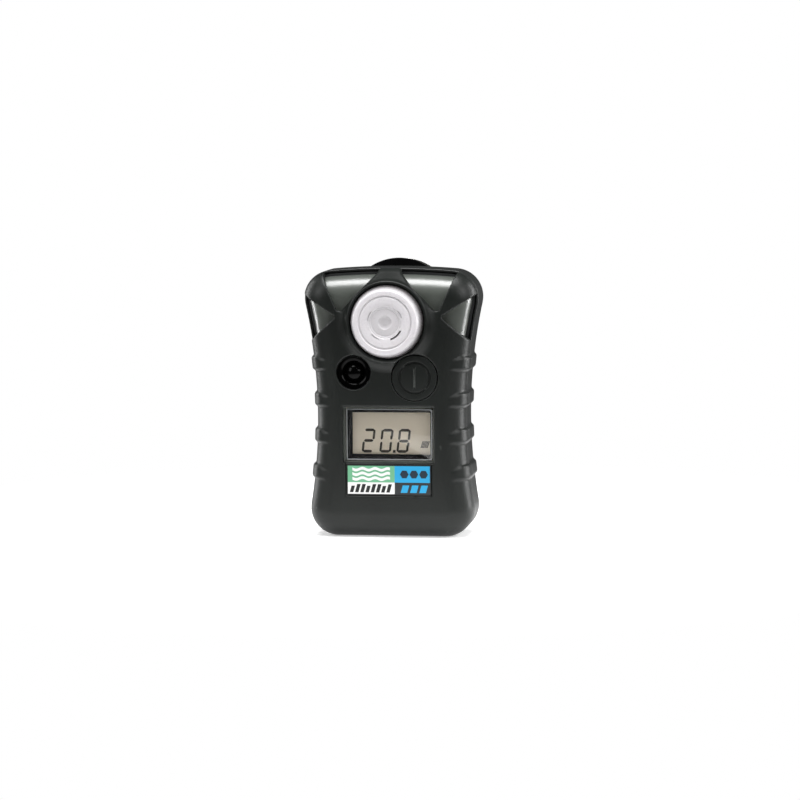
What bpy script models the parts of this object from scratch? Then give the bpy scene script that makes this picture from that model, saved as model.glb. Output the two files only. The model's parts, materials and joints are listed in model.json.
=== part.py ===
"""Portable single-gas detector: a pocket-sized case with a steel spring clip, built piece by piece.

Lengths in this file are in millimetres, and MM turns them into metres as each mesh is made.
The case stands on the plane Z = 0, its front looks along -Y and X = 0 is its middle plane.
"""

from math import asin, atan2, cos, pi, radians, sin, sqrt

import bmesh
import bpy

MM = 0.001
GAP = 0.3  # clearance between a piece and the neighbour it rests on

# Case, seen from the front
CASE_HEIGHT = 86.0
WAIST_HALF = 23.9  # half width where the sides are closest
WAIST_Z = 38.5
SIDE_RADIUS = 165.0  # hollow curve of each side
CORNER_RADIUS = 9.0
CROWN_RADIUS = 250.0  # slight arch of the top edge

# Case, seen from the side
FRONT_Y = -13.0
BACK_Y = 12.0
PARTING_Y = -5.0  # plane where the front and rear shells meet
FRONT_ROUND = 8.5  # how far the front rounding comes in from the outline
BACK_ROUND = 4.0
JACKET_WALL = 1.7
HOUSING_WALL = 1.6
REAR_WALL = 2.2

# Grip ribs on both sides
RIB_ZS = (21.2, 32.7, 44.2, 55.7)
RIB_HEIGHT = 4.3
RIB_END_HEIGHT = 2.3
RIB_RISE = 0.85

# Sensor and its cap
SENSOR_Z = 69.4
SENSOR_RADIUS = 10.0
SENSOR_FRONT_Y = -16.0
SENSOR_BACK_Y = 0.0
CAP_RADIUS = 11.6
CAP_FRONT_Y = -19.0
CAP_REAR_Y = -13.4
BOSS_RADIUS = 12.6
BOSS_FRONT_Y = -15.2
SLOT_RADIUS = 5.7
SLOT_WIDTH = 0.5
SLOT_ARCS = ((-71, -28), (14, 44), (146, 176), (222, 250))  # degrees about the cap's axis
PIN_CIRCLE = 6.5
PIN_RADIUS = 0.6

# Horn and push button
HORN_X, HORN_Z = -11.1, 53.1
HORN_RADIUS = 5.5
HORN_BORE = 3.1
BUZZER_RADIUS = 6.3
BUTTON_X, BUTTON_Z = 8.5, 51.5
BUTTON_RADIUS = 7.2
BUTTON_RING = 4.9
BUTTON_BAR = (1.1, 6.2)  # width and height of the raised bar
STEM_RADIUS = 2.1

# Display and label
DISPLAY_HALF = 14.7
DISPLAY_LOW, DISPLAY_HIGH = 24.1, 42.3
WINDOW_HALF = 13.8
WINDOW_LOW, WINDOW_HIGH = 25.0, 41.4
LABEL_HALF = 13.6
LABEL_LOW, LABEL_HIGH = 13.9, 23.7
WINDOW_Y = (-11.0, -10.0)
GLASS_HALF, GLASS_Y = 14.3, (-8.95, -7.2)
GLASS_LOW, GLASS_HIGH = 24.5, 41.9
REAR_LABEL_HALF = 12.0
REAR_LABEL_LOW, REAR_LABEL_HIGH = 13.0, 30.0

# Boards, battery and motor
MAIN_BOARD_Y = 1.0
DISPLAY_BOARD_Y = -5.2
BOARD_THICK = 1.2
BOARD_LOW = 24.5
BATTERY_Y, BATTERY_Z = 0.9, 14.0
BATTERY_RADIUS = 7.8
BATTERY_HALF = 13.3
MOTOR_Y, MOTOR_Z = 5.9, 34.0
MOTOR_RADIUS = 2.9
MOTOR_X = (-12.0, 2.0)
SHAFT_RADIUS = 0.5
WEIGHT_RADIUS = 2.6

# Case screws: X and Z of the right-hand pair, mirrored to the left
SCREW_PLACES = ((17.5, 8.5), (20.3, 75.5))
SCREW_RADIUS = 1.15
SCREW_HEAD_RADIUS = 2.3
BOSS_POST_RADIUS = 2.7
COUNTERBORE = 1.6  # depth of each screw's seat below the back face

# Spring clip on the back
CLIP_PIVOT_Y, CLIP_PIVOT_Z = 17.0, 66.0
CLIP_SHEET = 1.0
CLIP_BASE_Y = BACK_Y + GAP
CLIP_TOP_Z = 88.3
CLIP_TAB_HALF = 10.0
CLIP_TAB_RADIUS = 17.0
CLIP_NECK_HALF = 7.9
CLIP_LOW_Z = 37.0
CLIP_SHOULDER_Z = 72.0
CLIP_PIN_RADIUS = 1.0
CLIP_PIN_HALF = 8.8
CLIP_SCREW_Z = 51.0
LEVER_SHEET = 0.9
LEVER_TOP_Z = 87.2


# ---------------------------------------------------------------- finishes


def finish(name, colour, roughness=0.5, metallic=0.0, transmission=0.0):
    """A Principled material in linear RGB."""
    material = bpy.data.materials.new(name)
    material.use_nodes = True
    material.diffuse_color = (*colour, 1.0)
    shader = material.node_tree.nodes["Principled BSDF"]
    shader.inputs["Base Color"].default_value = (*colour, 1.0)
    shader.inputs["Roughness"].default_value = roughness
    shader.inputs["Metallic"].default_value = metallic
    shader.inputs["Transmission Weight"].default_value = transmission
    return material


# ---------------------------------------------------------------- meshes


def solid(name, points, faces, material, pivot=(0.0, 0.0, 0.0)):
    """An object from points in millimetres, with its origin at pivot and its faces turned outwards."""
    mesh = bpy.data.meshes.new(name)
    mesh.from_pydata([[(p - o) * MM for p, o in zip(point, pivot)] for point in points], [], faces)
    shape = bmesh.new()
    shape.from_mesh(mesh)
    bmesh.ops.recalc_face_normals(shape, faces=shape.faces)
    shape.to_mesh(mesh)
    shape.free()
    mesh.shade_smooth()
    mesh.set_sharp_from_angle(angle=radians(30))
    if material:
        mesh.materials.append(material)
    piece = bpy.data.objects.new(name, mesh)
    piece.location = [o * MM for o in pivot]
    bpy.context.scene.collection.objects.link(piece)
    return piece


def loft(name, loops, material=None, pivot=(0.0, 0.0, 0.0)):
    """A skin through closed loops of equal length, capped at both ends."""
    count = len(loops[0])
    points = [point for loop in loops for point in loop]
    faces = [tuple(range(count)), tuple(range(len(points) - count, len(points)))]
    for row in range(len(loops) - 1):
        for i in range(count):
            j = (i + 1) % count
            low, high = row * count, (row + 1) * count
            faces.append((low + i, low + j, high + j, high + i))
    return solid(name, points, faces, material, pivot)


def prism(name, outline, low, high, axis="Y", material=None, pivot=(0.0, 0.0, 0.0)):
    """An outline pushed from low to high along an axis; its points list the other two coordinates."""
    place = {
        "X": lambda a, b, c: (c, a, b),
        "Y": lambda a, b, c: (a, c, b),
        "Z": lambda a, b, c: (a, b, c),
    }[axis]
    return loft(name, [[place(a, b, c) for a, b in outline] for c in (low, high)], material, pivot)


def box(name, xs, ys, zs, material=None):
    """A block between two places along each axis."""
    return prism(name, rectangle(*xs, *zs), *ys, material=material)


def turned(name, profile, centre, axis="Y", material=None, segments=24, pivot=(0.0, 0.0, 0.0)):
    """A closed profile of (radius, place along the axis) turned once round an axis through centre."""
    points, rings = [], []
    for radius, along in profile:
        ring = []
        for i in range(segments if radius else 1):
            angle = 2 * pi * i / segments
            a, b = centre[0] + radius * cos(angle), centre[1] + radius * sin(angle)
            ring.append(len(points))
            points.append({"X": (along, a, b), "Y": (a, along, b), "Z": (a, b, along)}[axis])
        rings.append(ring)
    faces = []
    closed = all(radius for radius, _ in profile)
    for k in range(len(rings) if closed else len(rings) - 1):
        one, two = rings[k], rings[(k + 1) % len(rings)]
        for i in range(segments):
            j = (i + 1) % segments
            corner = [one[i % len(one)], one[j % len(one)], two[j % len(two)], two[i % len(two)]]
            faces.append(tuple(dict.fromkeys(corner)))
    return solid(name, points, [face for face in faces if len(face) > 2], material, pivot)


def disc(name, radius, low, high, centre, axis="Y", material=None, segments=24, pivot=(0.0, 0.0, 0.0)):
    """A round bar from low to high along an axis."""
    profile = [(0, low), (radius, low), (radius, high), (0, high)]
    return turned(name, profile, centre, axis, material, segments, pivot)


def ring(name, inner, outer, low, high, centre, axis="Y", material=None, segments=24):
    """A flat ring between two radii."""
    profile = [(inner, low), (outer, low), (outer, high), (inner, high)]
    return turned(name, profile, centre, axis, material, segments)


def strip(name, path, halves, thickness, material=None, pivot=(0.0, 0.0, 0.0)):
    """Bent sheet: a path of (y, z) with a half width in X at each point."""
    loops = []
    for i, ((y, z), half) in enumerate(zip(path, halves)):
        before, after = path[max(i - 1, 0)], path[min(i + 1, len(path) - 1)]
        length = sqrt((after[0] - before[0]) ** 2 + (after[1] - before[1]) ** 2)
        ny = -(after[1] - before[1]) / length * thickness / 2
        nz = (after[0] - before[0]) / length * thickness / 2
        near, far = (y - ny, z - nz), (y + ny, z + nz)
        loops.append([(-half, *near), (half, *near), (half, *far), (-half, *far)])
    return loft(name, loops, material, pivot)


def tube(name, points, radius, material, sides=6):
    """Round wire along a path, as a curve with filled caps."""
    curve = bpy.data.curves.new(name, "CURVE")
    curve.dimensions = "3D"
    curve.bevel_depth = radius * MM
    curve.bevel_resolution = (sides - 4) // 2
    curve.use_fill_caps = True
    spline = curve.splines.new("POLY")
    spline.points.add(len(points) - 1)
    for target, point in zip(spline.points, points):
        target.co = (*[p * MM for p in point], 1.0)
    curve.materials.append(material)
    piece = bpy.data.objects.new(name, curve)
    bpy.context.scene.collection.objects.link(piece)
    return piece


def combine(body, tools, operation):
    """One Boolean step with every tool at once, kept as a modifier; the tools are hidden guides."""
    group = bpy.data.collections.new(f"guides_{body.name}_{operation.lower()}")
    bpy.context.scene.collection.children.link(group)
    for tool in tools:
        tool.hide_render = True
        tool.display_type = "WIRE"
        bpy.context.scene.collection.objects.unlink(tool)
        group.objects.link(tool)
    step = body.modifiers.new(operation.title(), "BOOLEAN")
    step.operation = operation
    step.solver = "EXACT"
    step.operand_type = "COLLECTION"
    step.collection = group
    return body


def cut(body, *tools):
    """Takes every tool away from the body."""
    return combine(body, tools, "DIFFERENCE")


def fuse(body, *tools):
    """Adds every tool to the body."""
    return combine(body, tools, "UNION")


# ---------------------------------------------------------------- outlines


def rectangle(left, right, low, high):
    """The four corners of a rectangle."""
    return [(left, low), (right, low), (right, high), (left, high)]


def arc(centre, radius, start, end, steps):
    """Points on a circle from start to end, in radians, both ends included."""
    angles = [start + (end - start) * i / steps for i in range(steps + 1)]
    return [(centre[0] + radius * cos(a), centre[1] + radius * sin(a)) for a in angles]


def arc_band(radius, width, start, end, centre, steps=4):
    """Outline of a curved slot, with its angles in degrees."""
    outer = arc(centre, radius + width / 2, radians(start), radians(end), steps)
    inner = arc(centre, radius - width / 2, radians(end), radians(start), steps)
    return outer + inner


def corner_centres():
    """Centres of the right-hand bottom and top corners, tangent to the base or crown and to the side."""
    side = (WAIST_HALF + SIDE_RADIUS, WAIST_Z)
    reach = SIDE_RADIUS + CORNER_RADIUS
    bottom = (side[0] - sqrt(reach**2 - (WAIST_Z - CORNER_RADIUS) ** 2), CORNER_RADIUS)
    crown_z, crown_reach = CASE_HEIGHT - CROWN_RADIUS, CROWN_RADIUS - CORNER_RADIUS
    apart = sqrt(side[0] ** 2 + (side[1] - crown_z) ** 2)
    along = (crown_reach**2 - reach**2 + apart**2) / (2 * apart)
    across = sqrt(crown_reach**2 - along**2)
    ux, uz = side[0] / apart, (side[1] - crown_z) / apart
    top = (along * ux - across * uz, crown_z + along * uz + across * ux)
    return side, bottom, top


def case_outline(inset=0.0):
    """(x, z) points round the case, drawn in by inset; every inset gives the same number of points."""
    side, bottom, top = corner_centres()
    corner = CORNER_RADIUS - inset
    low_angle = atan2(side[1] - bottom[1], side[0] - bottom[0])
    high_angle = atan2(side[1] - top[1], side[0] - top[0])
    crown_centre = (0.0, CASE_HEIGHT - CROWN_RADIUS)
    crown_angle = atan2(top[1] - crown_centre[1], top[0])
    half = arc(bottom, corner, -pi / 2, low_angle, 5)
    half += arc(side, SIDE_RADIUS + inset, pi + low_angle, pi + high_angle, 6)[1:]
    half += arc(top, corner, high_angle, crown_angle, 5)[1:]
    half += arc(crown_centre, CROWN_RADIUS - inset, crown_angle, pi / 2, 3)[1:]
    return half + [(-x, z) for x, z in reversed(half[:-1])]


def side_x(z):
    """Half width of the case between its corners."""
    return WAIST_HALF + SIDE_RADIUS - sqrt(SIDE_RADIUS**2 - (z - WAIST_Z) ** 2)


def rounded_loops(inset, start_y, end_y, round_in, steps):
    """Case loops from a straight start to a rounded end; round_in is how far the last loop comes in."""
    loops = []
    for i in range(steps + 1):
        turn = pi / 2 * i / steps
        y = start_y + (end_y - start_y) * sin(turn)
        drawn = inset + round_in * (1 - cos(turn))
        loops.append([(x, y, z) for x, z in case_outline(drawn)])
    return loops


def screw_places():
    """X and Z of the four case screws."""
    return [(sign * x, z) for x, z in SCREW_PLACES for sign in (-1, 1)]


# ---------------------------------------------------------------- case


def rib(name, z, sign, rear=False):
    """One grip rib: a raised band that fades out towards the middle of the face."""
    loops = []
    turns = [radians(a) for a in ((-4, 15, 30, 45, 60) if rear else (0, 15, 30, 45, 60, 72, 82))]
    straight = [PARTING_Y + GAP] if rear else []
    for y, turn in [(y, 0.0) for y in straight] + [(None, turn) for turn in turns]:
        share = max(0.0, 1 - max(0.0, turn - radians(35)) / radians(45))
        if rear:
            share = max(0.0, 1 - max(0.0, turn) / radians(60))
        rise = RIB_RISE * share - 0.15 * (1 - share)
        height = RIB_END_HEIGHT + (RIB_HEIGHT - RIB_END_HEIGHT) * share
        low = z - RIB_HEIGHT / 2
        section = []
        for reach in (-0.6, rise):
            for level in (low, low + height):
                round_in = BACK_ROUND if rear else FRONT_ROUND
                depth = BACK_ROUND if rear else PARTING_Y - FRONT_Y
                x = side_x(level) - round_in + (round_in + reach) * cos(turn)
                base = BACK_Y - BACK_ROUND if rear else PARTING_Y
                place = base + (1 if rear else -1) * (depth + reach) * sin(turn)
                section.append((sign * x, place if y is None else y, level))
        loops.append([section[0], section[1], section[3], section[2]])
    return loft(name, loops)


def light_windows():
    """Cutters for the two top and two side openings that show the smoked housing."""
    top = [(2.9, 89.0), (24.4, 89.0), (21.5, 84.4), (16.4, 73.0), (14.9, 73.0), (3.7, 84.6)]
    side = [(17.3, 70.3), (25.4, 63.3), (32.0, 57.7), (32.0, 80.4), (28.4, 78.0), (17.3, 71.1)]
    cutters = []
    for word, sign in (("left", -1), ("right", 1)):
        for label, outline in (("top", top), ("side", side)):
            flipped = [(sign * x, z) for x, z in outline]
            cutters.append(prism(f"guide_{label}_opening_{word}", flipped, FRONT_Y - 4, PARTING_Y + 1))
    return cutters


def front_jacket(material):
    """Rubber overmould: an open shell with the sensor boss, ribs and front openings."""
    steps = 6
    inner = rounded_loops(JACKET_WALL, PARTING_Y, FRONT_Y + JACKET_WALL, FRONT_ROUND - JACKET_WALL, 4)
    outer = rounded_loops(0.0, PARTING_Y, FRONT_Y, FRONT_ROUND, steps)
    jacket = loft("front_jacket", inner[::-1] + outer, material)
    sides = (("left", -1), ("right", 1))
    ribs = [rib(f"guide_rib_{w}_{i}", z, s) for w, s in sides for i, z in enumerate(RIB_ZS)]
    boss = [
        (0, FRONT_Y + 0.5),
        (BOSS_RADIUS + 1.3, FRONT_Y + 0.5),
        (BOSS_RADIUS + 0.3, BOSS_FRONT_Y + 0.8),
        (BOSS_RADIUS, BOSS_FRONT_Y),
        (0, BOSS_FRONT_Y),
    ]
    fuse(jacket, *ribs, turned("guide_boss", boss, (0, SENSOR_Z), segments=32))
    through = (FRONT_Y - 4, FRONT_Y + 4)
    cut(
        jacket,
        *light_windows(),
        disc("guide_sensor_bore", CAP_RADIUS + GAP, *through, (0, SENSOR_Z), segments=32),
        disc("guide_horn_bore", HORN_RADIUS, *through, (HORN_X, HORN_Z)),
        disc("guide_button_bore", BUTTON_RADIUS + GAP, *through, (BUTTON_X, BUTTON_Z)),
        box("guide_display_bore", (-DISPLAY_HALF, DISPLAY_HALF), through, (DISPLAY_LOW, DISPLAY_HIGH)),
        box(
            "guide_label_recess",
            (-LABEL_HALF - GAP, LABEL_HALF + GAP),
            (FRONT_Y - 1, FRONT_Y + 0.8),
            (LABEL_LOW - GAP, DISPLAY_LOW + 0.5),
        ),
    )
    return jacket


def front_housing(material):
    """Smoked shell under the jacket, with screw posts and the sensor collar."""
    skin = JACKET_WALL + GAP
    wall = skin + HOUSING_WALL
    outer = rounded_loops(skin, PARTING_Y, FRONT_Y + skin, FRONT_ROUND - skin, 5)
    inner = rounded_loops(wall, PARTING_Y, FRONT_Y + wall, FRONT_ROUND - wall, 4)
    housing = loft("front_housing", inner[::-1] + outer, material)
    collar = disc("guide_collar", SENSOR_RADIUS + 1.2, CAP_REAR_Y + GAP, -9.6, (0, SENSOR_Z), segments=32)
    posts = [
        disc(f"guide_front_post_{i}", BOSS_POST_RADIUS, -9.7, MAIN_BOARD_Y - GAP, place, segments=16)
        for i, place in enumerate(screw_places())
    ]
    fuse(housing, collar, *posts)
    through = (FRONT_Y - 4, -8.5)
    pilots = [
        disc(f"guide_pilot_{i}", SCREW_RADIUS + GAP, -8.4, MAIN_BOARD_Y + 1, place, segments=16)
        for i, place in enumerate(screw_places())
    ]
    return cut(
        housing,
        *pilots,
        disc("guide_sensor_well", SENSOR_RADIUS + GAP, FRONT_Y - 4, -5, (0, SENSOR_Z), segments=32),
        disc("guide_horn_way", HORN_BORE + 0.9, *through, (HORN_X, HORN_Z), segments=24),
        disc("guide_stem_way", STEM_RADIUS + 0.5, *through, (BUTTON_X, BUTTON_Z), segments=24),
        box(
            "guide_window_way",
            (-WINDOW_HALF - GAP, WINDOW_HALF + GAP),
            through,
            (WINDOW_LOW - GAP, WINDOW_HIGH + GAP),
        ),
    )


def rear_housing(material):
    """Rear shell with a sealing rebate, screw posts, ribs and seats for the label and clip."""
    rim_y = PARTING_Y + GAP
    outer = [[(x, rim_y, z) for x, z in case_outline()]]
    outer += rounded_loops(0.0, BACK_Y - BACK_ROUND, BACK_Y, BACK_ROUND, 4)
    inner = [[(x, rim_y, z) for x, z in case_outline(REAR_WALL)]]
    inner += rounded_loops(REAR_WALL, BACK_Y - BACK_ROUND, BACK_Y - REAR_WALL, BACK_ROUND - REAR_WALL, 2)
    housing = loft("rear_housing", inner[::-1] + outer, material)
    sides = (("left", -1), ("right", 1))
    ribs = [rib(f"guide_rear_rib_{w}_{i}", z, s, True) for w, s in sides for i, z in enumerate(RIB_ZS)]
    inside = BACK_Y - REAR_WALL + 0.5
    posts = []
    for i, (x, z) in enumerate(screw_places()):
        start = MAIN_BOARD_Y + (BOARD_THICK + GAP if z > BOARD_LOW else 0.0)
        posts.append(disc(f"guide_rear_post_{i}", BOSS_POST_RADIUS, start, inside, (x, z), segments=16))
    posts.append(disc("guide_clip_post", 3.2, 6.0, inside, (0, CLIP_SCREW_Z), segments=20))
    fuse(housing, *ribs, *posts)
    rebate = [[(x, y, z) for x, z in case_outline(0.9)] for y in (rim_y - 1, rim_y + 0.9)]
    ways = []
    for i, place in enumerate(screw_places()):
        depth = (BACK_Y - COUNTERBORE, BACK_Y + 2)
        ways.append(disc(f"guide_screw_way_{i}", SCREW_RADIUS + GAP, -2.0, BACK_Y + 1, place, segments=16))
        ways.append(disc(f"guide_counterbore_{i}", SCREW_HEAD_RADIUS + GAP, *depth, place, segments=20))
    return cut(
        housing,
        loft("guide_rebate", rebate),
        *ways,
        disc("guide_clip_screw_way", 1.3, 7.0, BACK_Y + 1, (0, CLIP_SCREW_Z), segments=16),
        box(
            "guide_rear_recess",
            (-REAR_LABEL_HALF - GAP, REAR_LABEL_HALF + GAP),
            (BACK_Y - 0.5, BACK_Y + 1),
            (REAR_LABEL_LOW - GAP, REAR_LABEL_HIGH + GAP),
        ),
    )


def case_gasket(material):
    """Flat seal in the rebate between the two shells."""
    y = PARTING_Y + GAP
    outer = [[(x, k, z) for x, z in case_outline(1.2)] for k in (y, y + 0.6)]
    inner = [[(x, k, z) for x, z in case_outline(2.1)] for k in (y + 0.6, y)]
    count = len(outer[0])
    loops = outer + inner
    points = [p for loop in loops for p in loop]
    faces = []
    for row in range(4):
        for i in range(count):
            j, nxt = (i + 1) % count, (row + 1) % 4
            faces.append((row * count + i, row * count + j, nxt * count + j, nxt * count + i))
    return solid("case_gasket", points, faces, material)


def case_screws(material):
    """Four screws with a hexagon socket, sunk in the back."""
    for i, (x, z) in enumerate(screw_places(), 1):
        head_y = BACK_Y - 0.2
        profile = [
            (0, -7.8),
            (SCREW_RADIUS, -7.2),
            (SCREW_RADIUS, head_y - 1.1),
            (SCREW_HEAD_RADIUS, head_y - 1.1),
            (SCREW_HEAD_RADIUS, head_y - 0.3),
            (SCREW_HEAD_RADIUS - 0.4, head_y),
            (0, head_y),
        ]
        screw = turned(f"case_screw_{i}", profile, (x, z), material=material, segments=16)
        socket = [(x + cos(a * pi / 3), z + sin(a * pi / 3)) for a in range(6)]
        cut(screw, prism(f"guide_screw_drive_{i}", socket, head_y - 0.7, head_y + 1))


# ---------------------------------------------------------------- front fittings


def display_parts(finishes):
    """Window, seal, glass, reflector, contact strips and the frame that holds them."""
    xs = (-WINDOW_HALF, WINDOW_HALF)
    box("display_window", xs, WINDOW_Y, (WINDOW_LOW, WINDOW_HIGH), finishes["clear"])
    seal = box("display_gasket", xs, (-9.7, -9.25), (WINDOW_LOW, WINDOW_HIGH), finishes["foam"])
    hole = (WINDOW_LOW + 1.0, WINDOW_HIGH - 1.0)
    cut(seal, box("guide_seal_hole", (1.0 - WINDOW_HALF, WINDOW_HALF - 1.0), (-11, -8), hole))
    box("lcd_glass", (-GLASS_HALF, GLASS_HALF), GLASS_Y, (GLASS_LOW, GLASS_HIGH), finishes["lcd"])
    box("lcd_reflector", (-13.5, 13.5), (-6.9, -6.6), (27.0, 39.4), finishes["silver"])
    strip_depth = (-6.9, DISPLAY_BOARD_Y - GAP)
    for name, low in (("contact_strip_lower", 24.9), ("contact_strip_upper", 39.7)):
        box(name, (-12.5, 12.5), strip_depth, (low, low + 1.8), finishes["rubber"])
    inner, outer = GLASS_HALF + GAP, GLASS_HALF + 1.3
    low, high = GLASS_LOW - 1.3, GLASS_HIGH + 1.3
    frame = box("lcd_frame", (-outer, outer), (-8.9, DISPLAY_BOARD_Y - GAP), (low, high), finishes["abs"])
    cut(frame, box("guide_frame_hole", (-inner, inner), (-10, -4), (low + 1.0, high - 1.0)))


def labels(finishes):
    """Printed plate under the display and printed film on the back."""
    xs = (-LABEL_HALF, LABEL_HALF)
    box("front_label", xs, (FRONT_Y + 0.25, FRONT_Y + 0.5), (LABEL_LOW, LABEL_HIGH), finishes["label"])
    xs, zs = (-REAR_LABEL_HALF, REAR_LABEL_HALF), (REAR_LABEL_LOW, REAR_LABEL_HIGH)
    box("rear_label", xs, (BACK_Y - 0.2, BACK_Y), zs, finishes["paper"])


def pin_places():
    """X and Z of the sensor's three pins."""
    turns = [pi / 2 + 2 * pi * i / 3 for i in range(3)]
    return [(PIN_CIRCLE * cos(turn), SENSOR_Z + PIN_CIRCLE * sin(turn)) for turn in turns]


def sensor_parts(finishes):
    """Electrochemical cell with its seal, dust filter, pins and frosted cap."""
    place = (0, SENSOR_Z)
    cell = [
        (0, SENSOR_FRONT_Y),
        (SENSOR_RADIUS - 0.6, SENSOR_FRONT_Y),
        (SENSOR_RADIUS, SENSOR_FRONT_Y + 0.6),
        (SENSOR_RADIUS, SENSOR_BACK_Y - 0.6),
        (SENSOR_RADIUS - 0.6, SENSOR_BACK_Y),
        (0, SENSOR_BACK_Y),
    ]
    turned("sensor_body", cell, place, material=finishes["cell"], segments=28)
    for i, spot in enumerate(pin_places(), 1):
        depth = (SENSOR_BACK_Y + GAP, 3.6)
        disc(f"sensor_pin_{i}", PIN_RADIUS, *depth, spot, material=finishes["gold"], segments=8)
    ring("sensor_gasket", 8.0, 9.8, -17.2, SENSOR_FRONT_Y - GAP, place, material=finishes["rubber"])
    disc("dust_filter", 7.6, -17.1, SENSOR_FRONT_Y - GAP, place, material=finishes["filter"])
    rear, front = CAP_REAR_Y, CAP_FRONT_Y
    cap = [
        (10.3, rear),
        (CAP_RADIUS, rear),
        (CAP_RADIUS, -15.6),
        (11.3, -17.5),
        (10.85, -18.6),
        (10.35, front),
        (8.85, front),
        (8.85, front + 0.3),
        (8.55, front + 0.3),
        (8.55, front),
        (4.6, front),
        (4.4, front + 0.4),
        (1.9, front + 0.4),
        (1.5, front + 0.7),
        (0, front + 0.7),
        (0, -17.6),
        (9.9, -17.6),
        (10.3, -17.2),
    ]
    start = cap.index((0, front + 0.7)) + 1
    cap = cap[start:] + cap[:start]
    shell = turned("sensor_cap", cap, place, material=finishes["frosted"], segments=32)
    for i, (low, high) in enumerate(SLOT_ARCS):
        band = arc_band(SLOT_RADIUS, SLOT_WIDTH, low, high, place)
        cut(shell, prism(f"guide_slot_{i}", band, front - 1, -17.0))


def horn_parts(finishes):
    """Funnel, dust mesh, seal and sounder behind the round port."""
    place = (HORN_X, HORN_Z)
    funnel = [
        (4.9, FRONT_Y + 0.1),
        (HORN_RADIUS - GAP, FRONT_Y + 0.1),
        (HORN_RADIUS - GAP, FRONT_Y + JACKET_WALL),
        (HORN_BORE + 0.6, FRONT_Y + JACKET_WALL),
        (HORN_BORE + 0.6, -9.5),
        (HORN_BORE, -9.5),
        (HORN_BORE, FRONT_Y + 1.2),
    ]
    turned("horn_funnel", funnel, place, material=finishes["gloss"])
    ring("horn_gasket", 4.0, 6.0, -9.1, -8.5, place, material=finishes["foam"])
    disc("horn_mesh", 3.7, -9.1, -8.8, place, material=finishes["steel"], segments=24)
    rear = MAIN_BOARD_Y - GAP
    sounder = [(0, rear), (BUZZER_RADIUS, rear), (BUZZER_RADIUS, -8.2), (1.4, -8.2), (1.4, -7.0), (0, -7.0)]
    turned("buzzer", sounder, place, material=finishes["abs"], segments=28)


def button_parts(finishes):
    """Push button with its pressed-ring face, and the switch it works."""
    place = (BUTTON_X, BUTTON_Z)
    pivot = (BUTTON_X, FRONT_Y, BUTTON_Z)
    edge, inner = BUTTON_RING + 0.3, BUTTON_RING - 0.3
    face = [
        (0, -9.6),
        (STEM_RADIUS, -9.6),
        (STEM_RADIUS, FRONT_Y + 1.2),
        (BUTTON_RADIUS, FRONT_Y + 1.2),
        (BUTTON_RADIUS, FRONT_Y + 0.2),
        (BUTTON_RADIUS - 0.2, FRONT_Y),
        (edge, FRONT_Y),
        (edge, FRONT_Y + 0.3),
        (inner, FRONT_Y + 0.3),
        (inner, FRONT_Y),
        (0, FRONT_Y),
    ]
    button = turned("power_button", face, place, material=finishes["rubber"], segments=28, pivot=pivot)
    wide, tall = BUTTON_BAR
    bar = rectangle(BUTTON_X - wide / 2, BUTTON_X + wide / 2, BUTTON_Z - tall / 2, BUTTON_Z + tall / 2)
    fuse(button, prism("guide_button_bar", bar, FRONT_Y - 0.35, FRONT_Y + 0.5))
    switch = box("switch_body", (5.5, 11.5), (-8.0, DISPLAY_BOARD_Y - GAP), (48.5, 54.5), finishes["abs"])
    cut(switch, disc("guide_plunger_way", 1.8, -9.5, -6.4, place, segments=16))
    plunger_pivot = (BUTTON_X, -9.3, BUTTON_Z)
    depth = (plunger_pivot[1], -7.4)
    disc("switch_plunger", 1.5, *depth, place, material=finishes["gloss"], segments=16, pivot=plunger_pivot)


# ---------------------------------------------------------------- inside


def boards(finishes):
    """Main board behind the sensor, display board behind the glass, and what joins or sits on them."""
    outline = [(x, z) for x, z in case_outline(3.4) if z > BOARD_LOW]
    half = side_x(BOARD_LOW) - 3.4
    right = [point for point in outline if point[0] > 0]
    left = [point for point in outline if point[0] <= 0]
    edge = [(half, BOARD_LOW)] + right + left + [(-half, BOARD_LOW)]
    main = prism("main_board", edge, MAIN_BOARD_Y, MAIN_BOARD_Y + BOARD_THICK, material=finishes["board"])
    holes = [place for place in screw_places() if place[1] > BOARD_LOW]
    for i, place in enumerate(holes):
        cut(main, disc(f"guide_board_hole_{i}", SCREW_RADIUS + GAP, 0, 4, place, segments=16))
    for i, spot in enumerate(pin_places()):
        cut(main, disc(f"guide_pin_hole_{i}", PIN_RADIUS + GAP, 0, 4, spot, segments=8))
    step = [(-17.0, 22.8), (18.0, 22.8), (18.0, 57.5), (2.0, 57.5), (2.0, 45.5), (-17.0, 45.5)]
    depth = (DISPLAY_BOARD_Y, DISPLAY_BOARD_Y + 1.0)
    prism("display_board", step, *depth, material=finishes["board"])
    between = (depth[1] + GAP, MAIN_BOARD_Y - GAP)
    box("board_connector", (4.0, 16.0), between, (54.0, 56.6), finishes["abs"])
    box("controller_chip", (-11.0, -1.0), (-0.9, MAIN_BOARD_Y - GAP), (33.0, 43.0), finishes["chip"])
    for name, x in (("alarm_led_left", -13.5), ("alarm_led_right", 13.5)):
        box(name, (x - 1.6, x + 1.6), (-1.4, MAIN_BOARD_Y - GAP), (78.3, 81.1), finishes["led"])


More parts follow.
